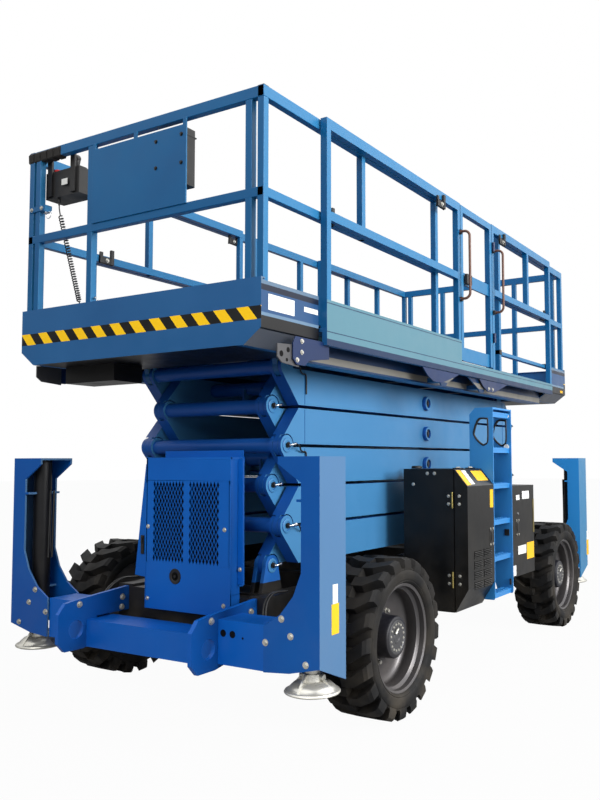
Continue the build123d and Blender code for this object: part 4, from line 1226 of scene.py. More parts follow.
    def build(self) -> None:
        """Makes the wheel's pieces about its axle."""
        origin = (0, 0, 0)
        rim = joined(turned(self.RIM, Axis.Y, origin, 96), turned(self.BACK, Axis.Y, origin, 96))
        drum = turned([(0.0, -0.004), *self.DRUM, (0.0, 0.1030)], Axis.Y, origin, 64)
        face = turned([*self.FACE, (0.0, 0.1000), (0.091, 0.1000), self.FACE[0]], Axis.Y, origin, 64)
        valve = tube(np.array([(0.02, 0.040, 0.254), (0.02, 0.052, 0.240), (0.02, 0.070, 0.232)]), 0.0045)
        centre = tuple(np.mean(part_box(f"tyre_{self.corner}"), axis=0).tolist())
        for name, shape, finish, smooth, node in (
                ("tyre_rubber", self.tyre(), RUBBER, 28, "tyre"), ("rim_dish", rim, RIM_GREY, 40, "rim"),
                ("hub_drum", drum, DRUM_GREY, 35, ""), ("hub_face", face, HUB_GREY, 35, ""),
                ("wheel_fixings", self.fixings(), ZINC, 35, ""), ("valve", valve, CHROME, 50, "")):
            placed = (shape if self.side > 0 else shape.mirrored(Axis.Y)).moved(centre)
            piece = new_piece(f"{name}_{self.corner}", placed, finish, f"wheel_{self.corner}", smooth)
            if node:
                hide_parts(f"{node}_{self.corner}")


@dataclass
class FrontCover:
    """Grilles, the painted shade sheet behind them, screws and trim of the front cover.

    Attributes:
        windows: Lowest and highest Y of each grille.
        height: Lowest and highest Z of the grilles.
        pitch: Spacing of the openings along Y and Z.
        opening: Width and height of one opening.
        face: X of the cover's front.
        wall: Thickness of the folded sheet.
        foot: Z of the cover's lower edge.
        head: Z of its upper edge.
        sides: Y of its two sides.
        lock: Y and Z of the lock in its front.
    """

    windows: tuple[tuple[float, float], ...] = ((-0.197, 0.041), (0.073, 0.295))
    height: tuple[float, float] = (0.808, 1.266)
    pitch: tuple[float, float] = (0.0235, 0.0455)
    opening: tuple[float, float] = (0.0182, 0.0410)
    face: float = 1.963
    wall: float = 0.012
    foot: float = 0.547
    head: float = 1.394
    sides: tuple[float, float] = (-0.250, 0.372)
    lock: tuple[float, float] = (-0.021, 0.737)

    def lattice(self, low: float, high: float) -> Shape:
        """A sheet with staggered diamond openings.

        The sheet is made of diamond tiles at (i/2, j/2) pitches with i + j even. A tile inside is a ring of four
        faces round its opening with four walls to the back, and a tile on the border is whole and clipped to it.

        Args:
            low: Lowest Y.
            high: Highest Y.

        Returns:
            The sheet, facing along X.
        """
        across = round((high - low) / self.pitch[0])
        up = round((self.height[1] - self.height[0]) / self.pitch[1])
        step = np.array([(high - low) / across, (self.height[1] - self.height[0]) / up]) / 2
        i, j = np.meshgrid(np.arange(2 * across + 1), np.arange(2 * up + 1), indexing="ij")
        even = (i + j) % 2 == 0
        edge = (i == 0) | (j == 0) | (i == 2 * across) | (j == 2 * up)
        corner = np.array([(1, 0), (0, 1), (-1, 0), (0, -1)], float)

        def spots(mask: np.ndarray, reach: np.ndarray, x: float) -> np.ndarray:
            """Corners of diamonds: the centre of a tile plus or minus the reach, clipped to the sheet.

            Args:
                mask: The tiles.
                reach: Half the width and height of a diamond.
                x: Place of the corners along X.

            Returns:
                Four corners for each tile.
            """
            centres = np.array([low, self.height[0]]) + np.stack([i[mask], j[mask]], axis=-1) * step
            flat = centres[:, None] + corner[None] * reach
            flat = np.clip(flat, (low, self.height[0]), (high, self.height[1]))
            return np.concatenate([np.full((*flat.shape[:2], 1), x), flat], axis=-1)

        hole = np.array(self.opening) / 2
        front, back = self.face - 0.0006, self.face - 0.0046
        rings = np.concatenate([spots(even & ~edge, step, front), spots(even & ~edge, hole, front),
                                spots(even & ~edge, hole, back)], axis=1)
        k = np.arange(4)
        n = (k + 1) % 4
        tile = np.concatenate([np.stack([k + a, n + a, n + a + 4, k + a + 4], axis=-1) for a in (0, 4)])
        faces = tile[None] + (np.arange(len(rings)) * 12)[:, None, None]
        solid = spots(even & edge, step, front)
        return joined(Shape(rings.reshape(-1, 3), [faces.reshape(-1, 4)]),
                      Shape(solid.reshape(-1, 3), [np.arange(solid.size // 3).reshape(-1, 4)]))

    def shell(self) -> None:
        """The folded cover: a front sheet round the two windows, its sides and top, and a wing on each side."""
        low, high, (left, right), wall, back = self.foot, self.head, self.sides, self.wall, 1.850
        sheet = (self.face - wall, self.face)
        edges = [left, *[value for window in self.windows for value in window], right]
        parts = [block(sheet, self.sides, height) for height in ((low, self.height[0]), (self.height[1], high))]
        parts += [block(sheet, (edges[k], edges[k + 1]), self.height) for k in (0, 2, 4)]
        for y in ((left, left + wall), (right - wall, right)):
            parts += [prism([(y[0], 0.660), (y[1], 0.660), (y[1], high), (y[0], high)], Axis.X, 1.884, self.face),
                      block((1.884, self.face), y, (low, 0.665)), block((back, 1.886), y, (0.700, high))]
        parts += [block((back, self.face), (left, right), (high - wall, high)),
                  block((1.900, 1.932), (left + 0.006, right - 0.006), (low + 0.010, high - 0.006)),
                  block((1.882, 1.902), (-0.060, 0.060), (low, 0.830))]
        for wing in (((-0.240, 0.700), (-0.397, 0.715), (-0.318, 1.357), (-0.240, 1.380)),
                     ((0.362, 0.713), (0.408, 0.713), (0.404, 1.384), (0.362, 1.384))):
            parts.append(prism(list(wing), Axis.X, 1.888, 1.900))
        cover = new_piece("cover_shell", joined(*parts), CHASSIS_BLUE, "chassis", bevel=0.0012)
        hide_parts("front_cover")

    def build(self) -> None:
        """Makes the cover's shell, the grilles and the trim."""
        self.shell()
        sheets = joined(*[self.lattice(*window) for window in self.windows])
        new_piece("cover_grilles", sheets, CHASSIS_BLUE, "chassis", 20, closed=False)
        # A near-black sheet behind the grilles paints the shade inside the cover.
        core = joined(*[block((1.9332, 1.9346), window, self.height) for window in self.windows])
        new_piece("cover_core", core, SHADE_AND_BLACK, "chassis")
        screws = bolts([(self.face, -0.230, 1.005), (self.face, 0.332, 1.007), (self.face, -0.230, 0.602),
                        (self.face, 0.328, 0.606), (1.9005, 0.387, 0.794)], Axis.X, 1, 0.009, 0.009)
        new_piece("cover_screws", screws, ZINC, "chassis")
        centre = (self.face, *self.lock)
        plug = turned([(0.024, -0.020), (0.024, 0.001), (0.030, 0.0035), (0.041, 0.003), (0.043, 0.0), (0.040, -0.020)],
                      Axis.X, centre, 36)
        # The near-black cup paints the shade inside the lock's ring.
        cup = turned([(0.0, 0.0008), (0.0245, 0.0008), (0.0245, -0.0190), (0.0, -0.0190)], Axis.X, centre, 24)
        new_piece("cover_plug", plug, PLASTIC, "chassis", 50)
        new_piece("cover_plug_cup", cup, SHADE_AND_BLACK, "chassis", 50)
        new_piece("cover_plug_key", bolts([centre], Axis.X, 1, 0.011, 0.004), FRAME_BLACK, "chassis")
        strip = block((1.845, 1.849), (-0.215, 0.365), (1.380, 1.432))
        catch = joined(block((1.900, 1.908), (-0.346, -0.322), (0.838, 0.946)),
                       block((1.906, 1.914), (-0.341, -0.327), (0.90, 0.94)))
        new_piece("cover_top_strip", strip, CHASSIS_BLUE, "chassis", bevel=0.0008)
        new_piece("cover_catch", catch, PLASTIC, "chassis", bevel=0.002)
        folds = [block((self.face - 0.0004, self.face + 0.0022), y, (0.548, 1.249))
                 for y in ((-0.2495, -0.2440), (0.3660, 0.3715))]
        new_piece("cover_folds", joined(*folds), CHASSIS_BLUE, "chassis", bevel=0.0008)


@dataclass
class Outriggers:
    """Screws, plates, hoses and feet of the four outriggers, and the fittings of their beams.

    Attributes:
        screws: Y and Z of the screws on an end plate.
        axis_x: Distance of a leg's axis from the middle along X.
        axis_y: Distance of a leg's axis from the middle along Y.
        end_x: Distance of the end plates from the middle.
        side_y: Distance of the side plates from the middle.
    """

    screws: tuple[tuple[float, float], ...] = ((0.886, 0.631), (0.939, 0.555), (0.792, 0.512), (1.025, 0.434))
    axis_x: float = 2.091
    axis_y: float = 0.985
    end_x: float = 2.204
    side_y: float = 1.102

    HOSE = ((2.060, 0.934, 1.20), (2.062, 0.934, 1.11), (2.066, 0.934, 0.92), (2.070, 0.932, 0.80))
    PIPE = ((1.72, 0.550, 0.670), (1.83, 0.552, 0.676), (1.90, 0.562, 0.652), (1.945, 0.580, 0.606),
            (1.972, 0.600, 0.560))

    def foot(self) -> Shape:
        """A pressed foot: a flanged dish with two crossed webs, and a pin on top.

        Returns:
            The foot under the origin's axis.
        """
        dish = turned([(0.0, 0.281), (0.120, 0.281), (0.132, 0.284), (0.1348, 0.290), (0.131, 0.296), (0.117, 0.300),
                       (0.108, 0.312), (0.088, 0.330), (0.060, 0.340), (0.0, 0.342)], Axis.Z, (0, 0, 0), 56)
        web = prism([(0.290, -0.128), (0.290, 0.128), (0.372, 0.062), (0.372, -0.062)], Axis.Y, -0.006, 0.006)
        cross = prism([(-0.128, 0.290), (0.128, 0.290), (0.055, 0.366), (-0.055, 0.366)], Axis.X, -0.004, 0.004)
        pin = turned([(0.0, -0.066), (0.016, -0.066), (0.016, 0.066), (0.0, 0.066)], Axis.Y, (0, 0, 0.356), 20)
        return joined(dish, web, cross, pin)

    def corner(self, end: int, side: int, name: str) -> None:
        """Dresses one outrigger.

        Args:
            end: One at the front, minus one at the rear.
            side: One on the left, minus one on the right.
            name: Its corner, such as front_left.
        """
        places = [(end * self.end_x, side * y, z) for y, z in self.screws]
        new_piece(f"outrigger_screws_{name}", bolts(places, Axis.X, end, 0.0125, 0.011), ZINC, "chassis")
        hoses = []
        for shift in (-0.012, 0.014):
            line = np.array([(end * (x + shift), side * y, z) for x, y, z in self.HOSE])
            hoses.append(tube(smooth_path(line, 6), 0.0065))
        new_piece(f"outrigger_hoses_{name}", joined(*hoses), CORD_BLACK, "chassis", 60)
        foot = self.foot().moved((end * self.axis_x, side * self.axis_y, 0))
        new_piece(f"foot_{name}", foot, ZINC, f"leg_{name}", 40)

    def beam(self, end: int, name: str) -> None:
        """Pipes, screws, and discs of painted shade in the holes of one beam with its tie-down brackets.

        Args:
            end: One at the front, minus one at the rear.
            name: Its end, front or rear.
        """
        screws, holes, lines = [], [], []
        for side in (1, -1):
            screws += [(end * x, side * 0.475 + 0.0125, z) for x, z in ((2.242, 0.588), (1.932, 0.586), (1.936, 0.530))]
            # Near-black discs flush with the brackets paint the shade in their holes.
            for y, z, radius in ((0.520, 0.525, 0.018), (0.579, 0.524, 0.018), (0.643, 0.512, 0.006)):
                holes.append(turned([(0.0, 0.0004 * end), (radius, 0.0004 * end), (radius, -0.0006 * end),
                                     (0.0, -0.0006 * end)], Axis.X, (end * 2.190, side * y, z), 24))
            for shift in (0.0, 0.016):
                line = np.array([(end * x, side * (y + shift), z) for x, y, z in self.PIPE])
                lines.append(tube(smooth_path(line, 8), 0.0055))
        nuts = [(x, y - 0.025, z) for x, y, z in screws]
        new_piece(f"bracket_screws_{name}", bolts(screws, Axis.Y, 1, 0.0135, 0.012), ZINC, "chassis")
        new_piece(f"bracket_nuts_{name}", bolts(nuts, Axis.Y, -1, 0.0125, 0.012), ZINC, "chassis")
        new_piece(f"beam_holes_{name}", joined(*holes), SHADE_AND_BLACK, "chassis")
        new_piece(f"beam_pipes_{name}", joined(*lines), CORD_BLACK, "chassis", 60)

    def plates(self) -> None:
        """Blank plates on the left columns' side faces."""
        y = (self.side_y - 0.0002, self.side_y + 0.0008)
        white = joined(block((2.050, 2.094), y, (0.702, 0.792)), block((-2.236, -2.186), y, (0.650, 0.728)))
        gold = joined(block((2.040, 2.104), y, (0.560, 0.701)), block((-2.243, -2.180), y, (0.512, 0.648)))
        new_piece("column_plates_white", white, WHITE, "chassis")
        new_piece("column_plates_yellow", gold, YELLOW, "chassis")

    def build(self) -> None:
        """Dresses all four outriggers and both beams."""
        for end, front in ((1, "front"), (-1, "rear")):
            for side, left in ((1, "left"), (-1, "right")):
                self.corner(end, side, f"{front}_{left}")
            self.beam(end, front)
        self.plates()


@dataclass
class Ladder:
    """Trim, treads and fixings of the access ladder.

    Attributes:
        sides: X of the outer faces of its side plates.
        first: Z of the lowest rung's underside.
        pitch: Height between rungs.
        rungs: Number of rungs.
    """

    sides: tuple[float, float] = (-0.215, 0.135)
    first: float = 0.442
    pitch: float = 0.246
    rungs: int = 6

    HOLE = ((0.989, 1.559), (1.006, 1.622), (1.032, 1.659), (1.082, 1.659), (1.092, 1.645), (1.092, 1.510),
            (1.070, 1.482), (1.050, 1.482), (1.013, 1.514))

    def build(self) -> None:
        """Makes the hand holes' rubber edging, the rungs' toothed holes and the small fixings."""
        rear, front = self.sides
        width = (rear + 0.007, front - 0.007)
        around = smooth_path(np.array([(0.0, y, z) for y, z in (*self.HOLE, *self.HOLE[:3])]), 4)
        edging = [tube(around + np.array([x, 0, 0]), 0.0075, 8) for x in (rear + 0.004, front - 0.004)]
        new_piece("hand_hole_edging", joined(*edging), PLASTIC, "chassis", 60)
        across = np.linspace(rear + 0.030, front - 0.030, 9)
        up = self.first + self.pitch * np.arange(self.rungs) + 0.034
        places = np.array([(x, y, z) for z in up for row, y in enumerate((1.058, 1.094)) for x in across + 0.008 * row])
        tooth = turned([(0.0085, -0.001), (0.0085, 0.0035), (0.0060, 0.0045), (0.0060, 0.0), (0.0, 0.0)], Axis.Z,
                       (0, 0, 0), 10)
        new_piece("rung_teeth", tooth.tiled(places), LADDER_BLUE, "chassis", 40)
        lip = block((rear + 0.006, front - 0.006), (1.111, 1.1145), (-0.012, 0.0))
        new_piece("rung_lips", lip.tiled(np.array([(0, 0, z) for z in up])), LADDER_BLUE, "chassis")
        tread = joined(block(width, (1.062, 1.128), (1.722, 1.7345)), block(width, (1.062, 1.066), (1.690, 1.7345)))
        new_piece("ladder_top_tread", tread, LADDER_BLUE, "chassis", bevel=0.001)
        studs = [turned([(0.0, -0.012), (0.016, -0.010), (0.019, 0.0), (0.019, 0.006), (0.0, 0.006)], Axis.X,
                        (rear + 0.014, 1.098, z), 20) for z in (1.690, 1.470)]
        new_piece("ladder_studs", joined(*studs), WHITE, "chassis", 50)
        socket = joined(block((rear + 0.007, rear + 0.012), (1.072, 1.108), (0.840, 0.886)),
                        block((rear + 0.007, rear + 0.020), (1.108, 1.120), (0.500, 0.540)))
        new_piece("ladder_socket", socket, PLASTIC, "chassis", bevel=0.0015)
        screws = bolts([(front, y, 0.600) for y in (0.925, 0.825)], Axis.X, 1, 0.010, 0.009)
        new_piece("ladder_screws", screws, ZINC, "chassis")


@dataclass
class SideBays:
    """Hinges, latches, louvres, lids and plates of the black side bays.

    Attributes:
        front: X of the front face of the left and right bays.
        side: Y of the doors' outer faces.
        back: Y of the rear bay door's outer face.
        knuckle: Y of the hinges' knuckles, X from the front face, radius and half their length.
        rows: Number of louvred openings above each other.
        blades: Number of blades in an opening.
        sill: Z of the lowest opening.
        pitch: Height from one opening to the next.
        opening: Height of an opening.
    """

    front: float = 0.574
    side: float = 1.130
    back: float = 1.110
    knuckle: tuple[float, float, float, float] = (1.026, 0.007, 0.0065, 0.050)
    rows: int = 4
    blades: int = 4
    sill: float = 0.554
    pitch: float = 0.065
    opening: float = 0.046

    def hinge(self, name: str, side: int, z: float, body: str) -> None:
        """A butt hinge on the front edge: a rolled knuckle between two leaves with two screws each.

        Args:
            name: Its side and level.
            side: One on the left, minus one on the right.
            z: Its middle.
            body: The door's body.
        """
        y, lead, radius, half = self.knuckle
        centre = (self.front + lead, side * y, z)
        knuckle, groove = (turned([(0.0, -long), (wide, -long), (wide, long), (0.0, long)], Axis.Z, centre, 16)
                           for wide, long in ((radius, half), (radius + 0.0006, 0.0012)))
        rows = np.array([(0, 0, -0.030), (0, 0, -0.010), (0, 0, 0.010), (0, 0, 0.030)])
        new_piece(f"hinge_knuckle_{name}", joined(knuckle, groove.tiled(rows)), HINGE_ZINC, "chassis", 40)
        for part, reach, screw, rider in (("bay", (-0.042, -0.004), -0.026, "chassis"),
                                          ("door", (0.018, 0.060), 0.048, body)):
            leaf = block((self.front, self.front + 0.003), sorted(side * (y + edge) for edge in reach),
                         (z - 0.048, z + 0.048))
            new_piece(f"hinge_leaf_{part}_{name}", leaf, HOOD_BLACK, rider, bevel=0.0008)
            places = [(self.front + 0.003, side * (y + screw), z + dz) for dz in (-0.025, 0.025)]
            new_piece(f"hinge_screws_{part}_{name}", bolts(places, Axis.X, 1, 0.0078, 0.007), ZINC, rider)

    def latch(self, name: str, x: float, y: float, z: float, body: str) -> None:
        """A paddle latch: a dished plate, a paddle in it, and four screws.

        Args:
            name: Its door.
            x: Its middle along X.
            y: The door's outer face.
            z: Its middle along Z.
            body: The door's body.
        """
        plate = block((x - 0.030, x + 0.030), (y, y + 0.003), (z - 0.060, z + 0.060))
        rim = prism([(y, z - 0.042), (y + 0.005, z - 0.036), (y + 0.005, z + 0.036), (y, z + 0.042)], Axis.X,
                    x - 0.021, x + 0.021)
        new_piece(f"latch_plate_{name}", joined(plate, rim), PLASTIC, body, bevel=0.0015)
        paddle = prism([(y + 0.0045, z - 0.026), (y + 0.0085, z - 0.030), (y + 0.0065, z + 0.030),
                        (y + 0.0045, z + 0.030)], Axis.X, x - 0.014, x + 0.014)
        new_piece(f"latch_paddle_{name}", paddle, FRAME_BLACK, body, bevel=0.001)
        places = [(x + dx, y + 0.003, z + dz) for dx in (-0.022, 0.022) for dz in (-0.051, 0.051)]
        new_piece(f"latch_screws_{name}", bolts(places, Axis.Y, 1, 0.0065, 0.003), ZINC, body)

    def louvres(self, name: str, columns: tuple[tuple[float, float], ...], out: int, body: str) -> None:
        """Rows of louvred openings: a near-black plate of painted shade in the recess, with slanted blades between two
        raised edges.

        Args:
            name: Its door.
            columns: Lowest and highest X of each column of openings.
            out: One on the left door, minus one on the right.
            body: The door's body.
        """
        frames, shade_plates, blades = [], [], []
        y = out * self.side
        dark, raised = sorted((y, y + out * 0.0008)), sorted((y, y + out * 0.0030))
        for low, high in columns:
            wide = (low - 0.003, high + 0.003)
            for base in self.sill + self.pitch * np.arange(self.rows):
                top = base + self.opening
                # Painted shade: a near-black plate in each opening behind the blades.
                shade_plates.append(block((low, high), dark, (base, top)))
                frames += [block(wide, raised, (top, top + 0.003)), block(wide, raised, (base - 0.003, base))]
                for z in base + 0.006 + 0.0110 * np.arange(self.blades):
                    blades.append(prism([(y, z), (y + out * 0.0045, z - 0.003), (y + out * 0.0045, z - 0.0015),
                                         (y, z + 0.002)], Axis.X, low + 0.002, high - 0.002))
        new_piece(f"louvre_dark_{name}", joined(*shade_plates), SHADE_AND_BLACK, body)
        new_piece(f"louvre_blades_{name}", joined(*blades), HOOD_BLACK, body)
        new_piece(f"louvre_frames_{name}", joined(*frames), HOOD_BLACK, body)

    def slope_plates(self) -> None:
        """Blank plates on the sloped top of the left bay's door.

        The slope runs in a straight line from the door's upper inner edge to its outer face.
        """
        top, foot = np.array((1.040, 1.320)), np.array((1.130, 1.210))
        out = np.array((foot[1] - top[1], top[0] - foot[0])) * -1 / np.linalg.norm(foot - top)
        rows = (("gold", YELLOW, (0.500, 0.566), 0.08, 0.94), ("pale", WHITE, (0.430, 0.492), 0.10, 0.90),
                ("wide", YELLOW, (0.170, 0.350), 0.14, 0.72))
        for name, finish, x, start, end in rows:
            a, b = top + (foot - top) * start, top + (foot - top) * end
            outline = [a - out * 0.0002, b - out * 0.0002, b + out * 0.0009, a + out * 0.0009]
            new_piece(f"slope_plate_{name}", prism([tuple(corner) for corner in outline], Axis.X, *x), finish,
                      "left_bay_door")

    def build(self) -> None:
        """Makes the fittings of all three bays."""
        for side, name in ((1, "left"), (-1, "right")):
            for level, z in (("upper", 1.123), ("lower", 0.622)):
                self.hinge(f"{name}_{level}", side, z, f"{name}_bay_door")
        places = [(self.front, side * y, z) for side in (1, -1)
                  for y, z in ((0.850, 1.291), (0.901, 1.291), (0.748, 1.220))]
        new_piece("bay_screws", bolts(places, Axis.X, 1, 0.0085, 0.007), ZINC, "chassis")
        self.latch("left", 0.183, self.side, 0.868, "left_bay_door")
        self.latch("rear", -0.368, self.back, 0.888, "rear_bay_door")
        self.louvres("left", ((0.188, 0.321), (0.343, 0.478)), 1, "left_bay_door")
        self.louvres("right", ((0.010, 0.143), (0.165, 0.298), (0.320, 0.453)), -1, "right_bay_door")
        lid = turned([(0.0, 0.0), (0.034, 0.0), (0.036, 0.004), (0.036, 0.012), (0.030, 0.018), (0.0, 0.019)], Axis.Z,
                     (0.350, 0.660, 1.320), 28)
        new_piece("bay_lid", lid, PLASTIC, "chassis", 50)
        straps = joined(*[block((x - 0.028, x + 0.028), (0.985, 1.036), (1.320, 1.326)) for x in (0.250, 0.450)])
        new_piece("bay_top_straps", straps, HOOD_BLACK, "chassis", bevel=0.001)
        tops = bolts([(x, 1.010, 1.326) for x in (0.236, 0.264, 0.436, 0.464)], Axis.Z, 1, 0.0085, 0.007)
        new_piece("bay_top_screws", tops, ZINC, "chassis")
        self.slope_plates()
        self.rear_door()
        plate = block((0.150, 0.205), (self.side - 0.0001, self.side + 0.0008), (1.060, 1.180))
        new_piece("bay_plates_yellow", plate, YELLOW, "left_bay_door")

    def rear_door(self) -> None:
        """Makes the hinge, the lock and the blank plates of the rear bay's door."""
        line = turned([(0.0, -0.125), (0.0055, -0.125), (0.0055, 0.125), (0.0, 0.125)], Axis.Z, (-0.7265, 1.104, 0.955),
                      14)
        new_piece("rear_bay_hinge_line", line, HINGE_ZINC, "chassis", 40)
        leaf = block((-0.724, -0.700), (self.back, self.back + 0.0025), (0.830, 1.080))
        new_piece("rear_bay_hinge_leaf", leaf, HINGE_ZINC, "rear_bay_door")
        lock = bolts([(-0.380, self.back, 0.985)], Axis.Y, 1, 0.008, 0.006)
        new_piece("rear_bay_lock", lock, CHROME, "rear_bay_door")
        y = (self.back - 0.0001, self.back + 0.0008)
        new_piece("rear_plates_yellow", block((-0.715, -0.560), y, (0.640, 0.762)), YELLOW, "rear_bay_door")
        pale = joined(block((-0.415, -0.345), y, (1.085, 1.122)), block((-0.620, -0.470), y, (1.088, 1.146)),
                      block((-0.545, -0.375), y, (0.690, 0.752)), block((-0.330, -0.270), y, (0.548, 0.620)))
        new_piece("rear_plates_white", pale, WHITE, "rear_bay_door")


@dataclass
class ScissorStack:
    """Pin fittings, centre collars, weld lines and hoses of the arms.

    Attributes:
        near: X of the pins towards the front.
        far: X of the pins towards the rear.
        base: Z of the lowest pins.
        rise: Height of one level.
        levels: Number of levels.
        outer: Y of the outer arms' outer faces.
        inner: Y of the inner arms' outer faces.
        seam: Half the height of the weld lines across the outer arms.
        seams: X of their middles.
    """

    near: float = 1.675
    far: float = -1.775
    base: float = 0.794
    rise: float = 0.222
    levels: int = 5
    outer: float = 0.530
    inner: float = 0.430
    seam: float = 0.098
    seams: tuple[float, float] = (1.500, -1.597)

    # X from the near pins, Y from the arm's face and Z from the upper pins
    GREASE = ((-0.040, 0.038, 0.008), (-0.075, 0.034, -0.004), (-0.110, 0.018, -0.026), (-0.150, 0.009, -0.036),
              (-0.165, 0.0075, -0.034), (-0.177, 0.0075, -0.052), (-0.179, 0.0075, -0.150))

    def fitting(self, x: float, y: float, z: float, end: int) -> tuple[Shape, Shape, Shape]:
        """A pin's end.

        Args:
            x: The pin's place along X.
            y: The arm's outer face.
            z: The pin's height.
            end: One on a pin towards the front, minus one towards the rear.

        Returns:
            The collar, the six-sided head and the plated elbow.
        """
        collar = turned([(0.0, 0.0), (0.040, 0.0), (0.040, 0.004), (0.037, 0.006), (0.026, 0.006), (0.024, 0.003),
                         (0.0, 0.003)], Axis.Y, (x, y, z), 40)
        head = joined(prism(ring((z + 0.002, x), 0.016, 6), Axis.Y, y, y + 0.014),
                      prism(ring((z + 0.002, x), 0.010, 12), Axis.Y, y + 0.010, y + 0.020))
        path = np.array([(x, y + 0.016, z + 0.002), (x, y + 0.028, z + 0.002), (x - 0.010 * end, y + 0.034, z + 0.004),
                         (x - 0.032 * end, y + 0.036, z + 0.008)])
        elbow = tube(smooth_path(path, 5), 0.006, 10)
        nut = prism(ring((y + 0.036, z + 0.008), 0.009, 6), Axis.X, *sorted((x - 0.030 * end, x - 0.040 * end)))
        return collar, head, joined(elbow, nut)

    def pins(self, kind: str, level: int, face: float, low: float, high: float) -> None:
        """The fittings of the pins that one pair of arms carries.

        Args:
            kind: The pair, outer or inner.
            level: Its level, from one.
            face: Y of its outer face.
            low: Z of its lower pins.
            high: Z of its upper pins.
        """
        rising = (level % 2 == 1) != (kind == "outer")
        places = [(self.far if rising else self.near, high)]
        if level == 1:
            places.append((self.near if rising else self.far, low))
        sets = zip(*[self.fitting(x, face, z, 1 if x > 0 else -1) for x, z in places])
        for (part, finish, smooth), shapes in zip((("collars", ARM_BLUE, 40), ("heads", FRAME_BLACK, 40),
                                                   ("elbows", CHROME, 50)), sets):
            new_piece(f"pin_{part}_{kind}_{level}", both_sides(joined(*shapes)), finish, f"{kind}_arms_{level}", smooth)

    def centre(self, level: int, low: float, high: float) -> None:
        """The centre collars, weld lines and grease lines of one pair of outer arms.

        Args:
            level: Its level, from one.
            low: Z of its lower pins.
            high: Z of its upper pins.
        """
        body, face = f"outer_arms_{level}", self.outer
        x, z = (self.near + self.far) / 2, (low + high) / 2
        hub = turned([(0.0, 0.0), (0.052, 0.0), (0.052, 0.022), (0.048, 0.027), (0.034, 0.027), (0.032, 0.020),
                      (0.030, 0.012), (0.0, 0.012)], Axis.Y, (x, face, z), 40)
        new_piece(f"centre_collars_{level}", both_sides(hub), ARM_BLUE, body, 40)
        cap = turned([(0.0, 0.012), (0.030, 0.012), (0.028, 0.018), (0.014, 0.019), (0.013, 0.024), (0.0, 0.024)],
                     Axis.Y, (x, face, z), 28)
        new_piece(f"centre_caps_{level}", both_sides(cap), FRAME_BLACK, body, 40)
        seams = [block((middle - 0.003, middle + 0.003), (face - 0.001, face + 0.0025), (z - self.seam, z + self.seam))
                 for middle in self.seams]
        new_piece(f"arm_seams_{level}", both_sides(joined(*seams)), ARM_BLUE, body)
        if level % 2 == 1:
            line = tube(smooth_path(np.array(self.GREASE) + (self.near, face, high), 8), 0.0048, 8)
            new_piece(f"grease_line_{level}", both_sides(line), CORD_BLACK, body, 60)

    def build(self) -> None:
        """Dresses every pair of arms; the pins at the top belong to the platform."""
        for level in range(1, self.levels + 1):
            low, high = self.base + self.rise * (level - 1), self.base + self.rise * level
            if level < self.levels:
                self.pins("outer", level, self.outer, low, high)
                self.pins("inner", level, self.inner, low, high)
            self.centre(level, low, high)


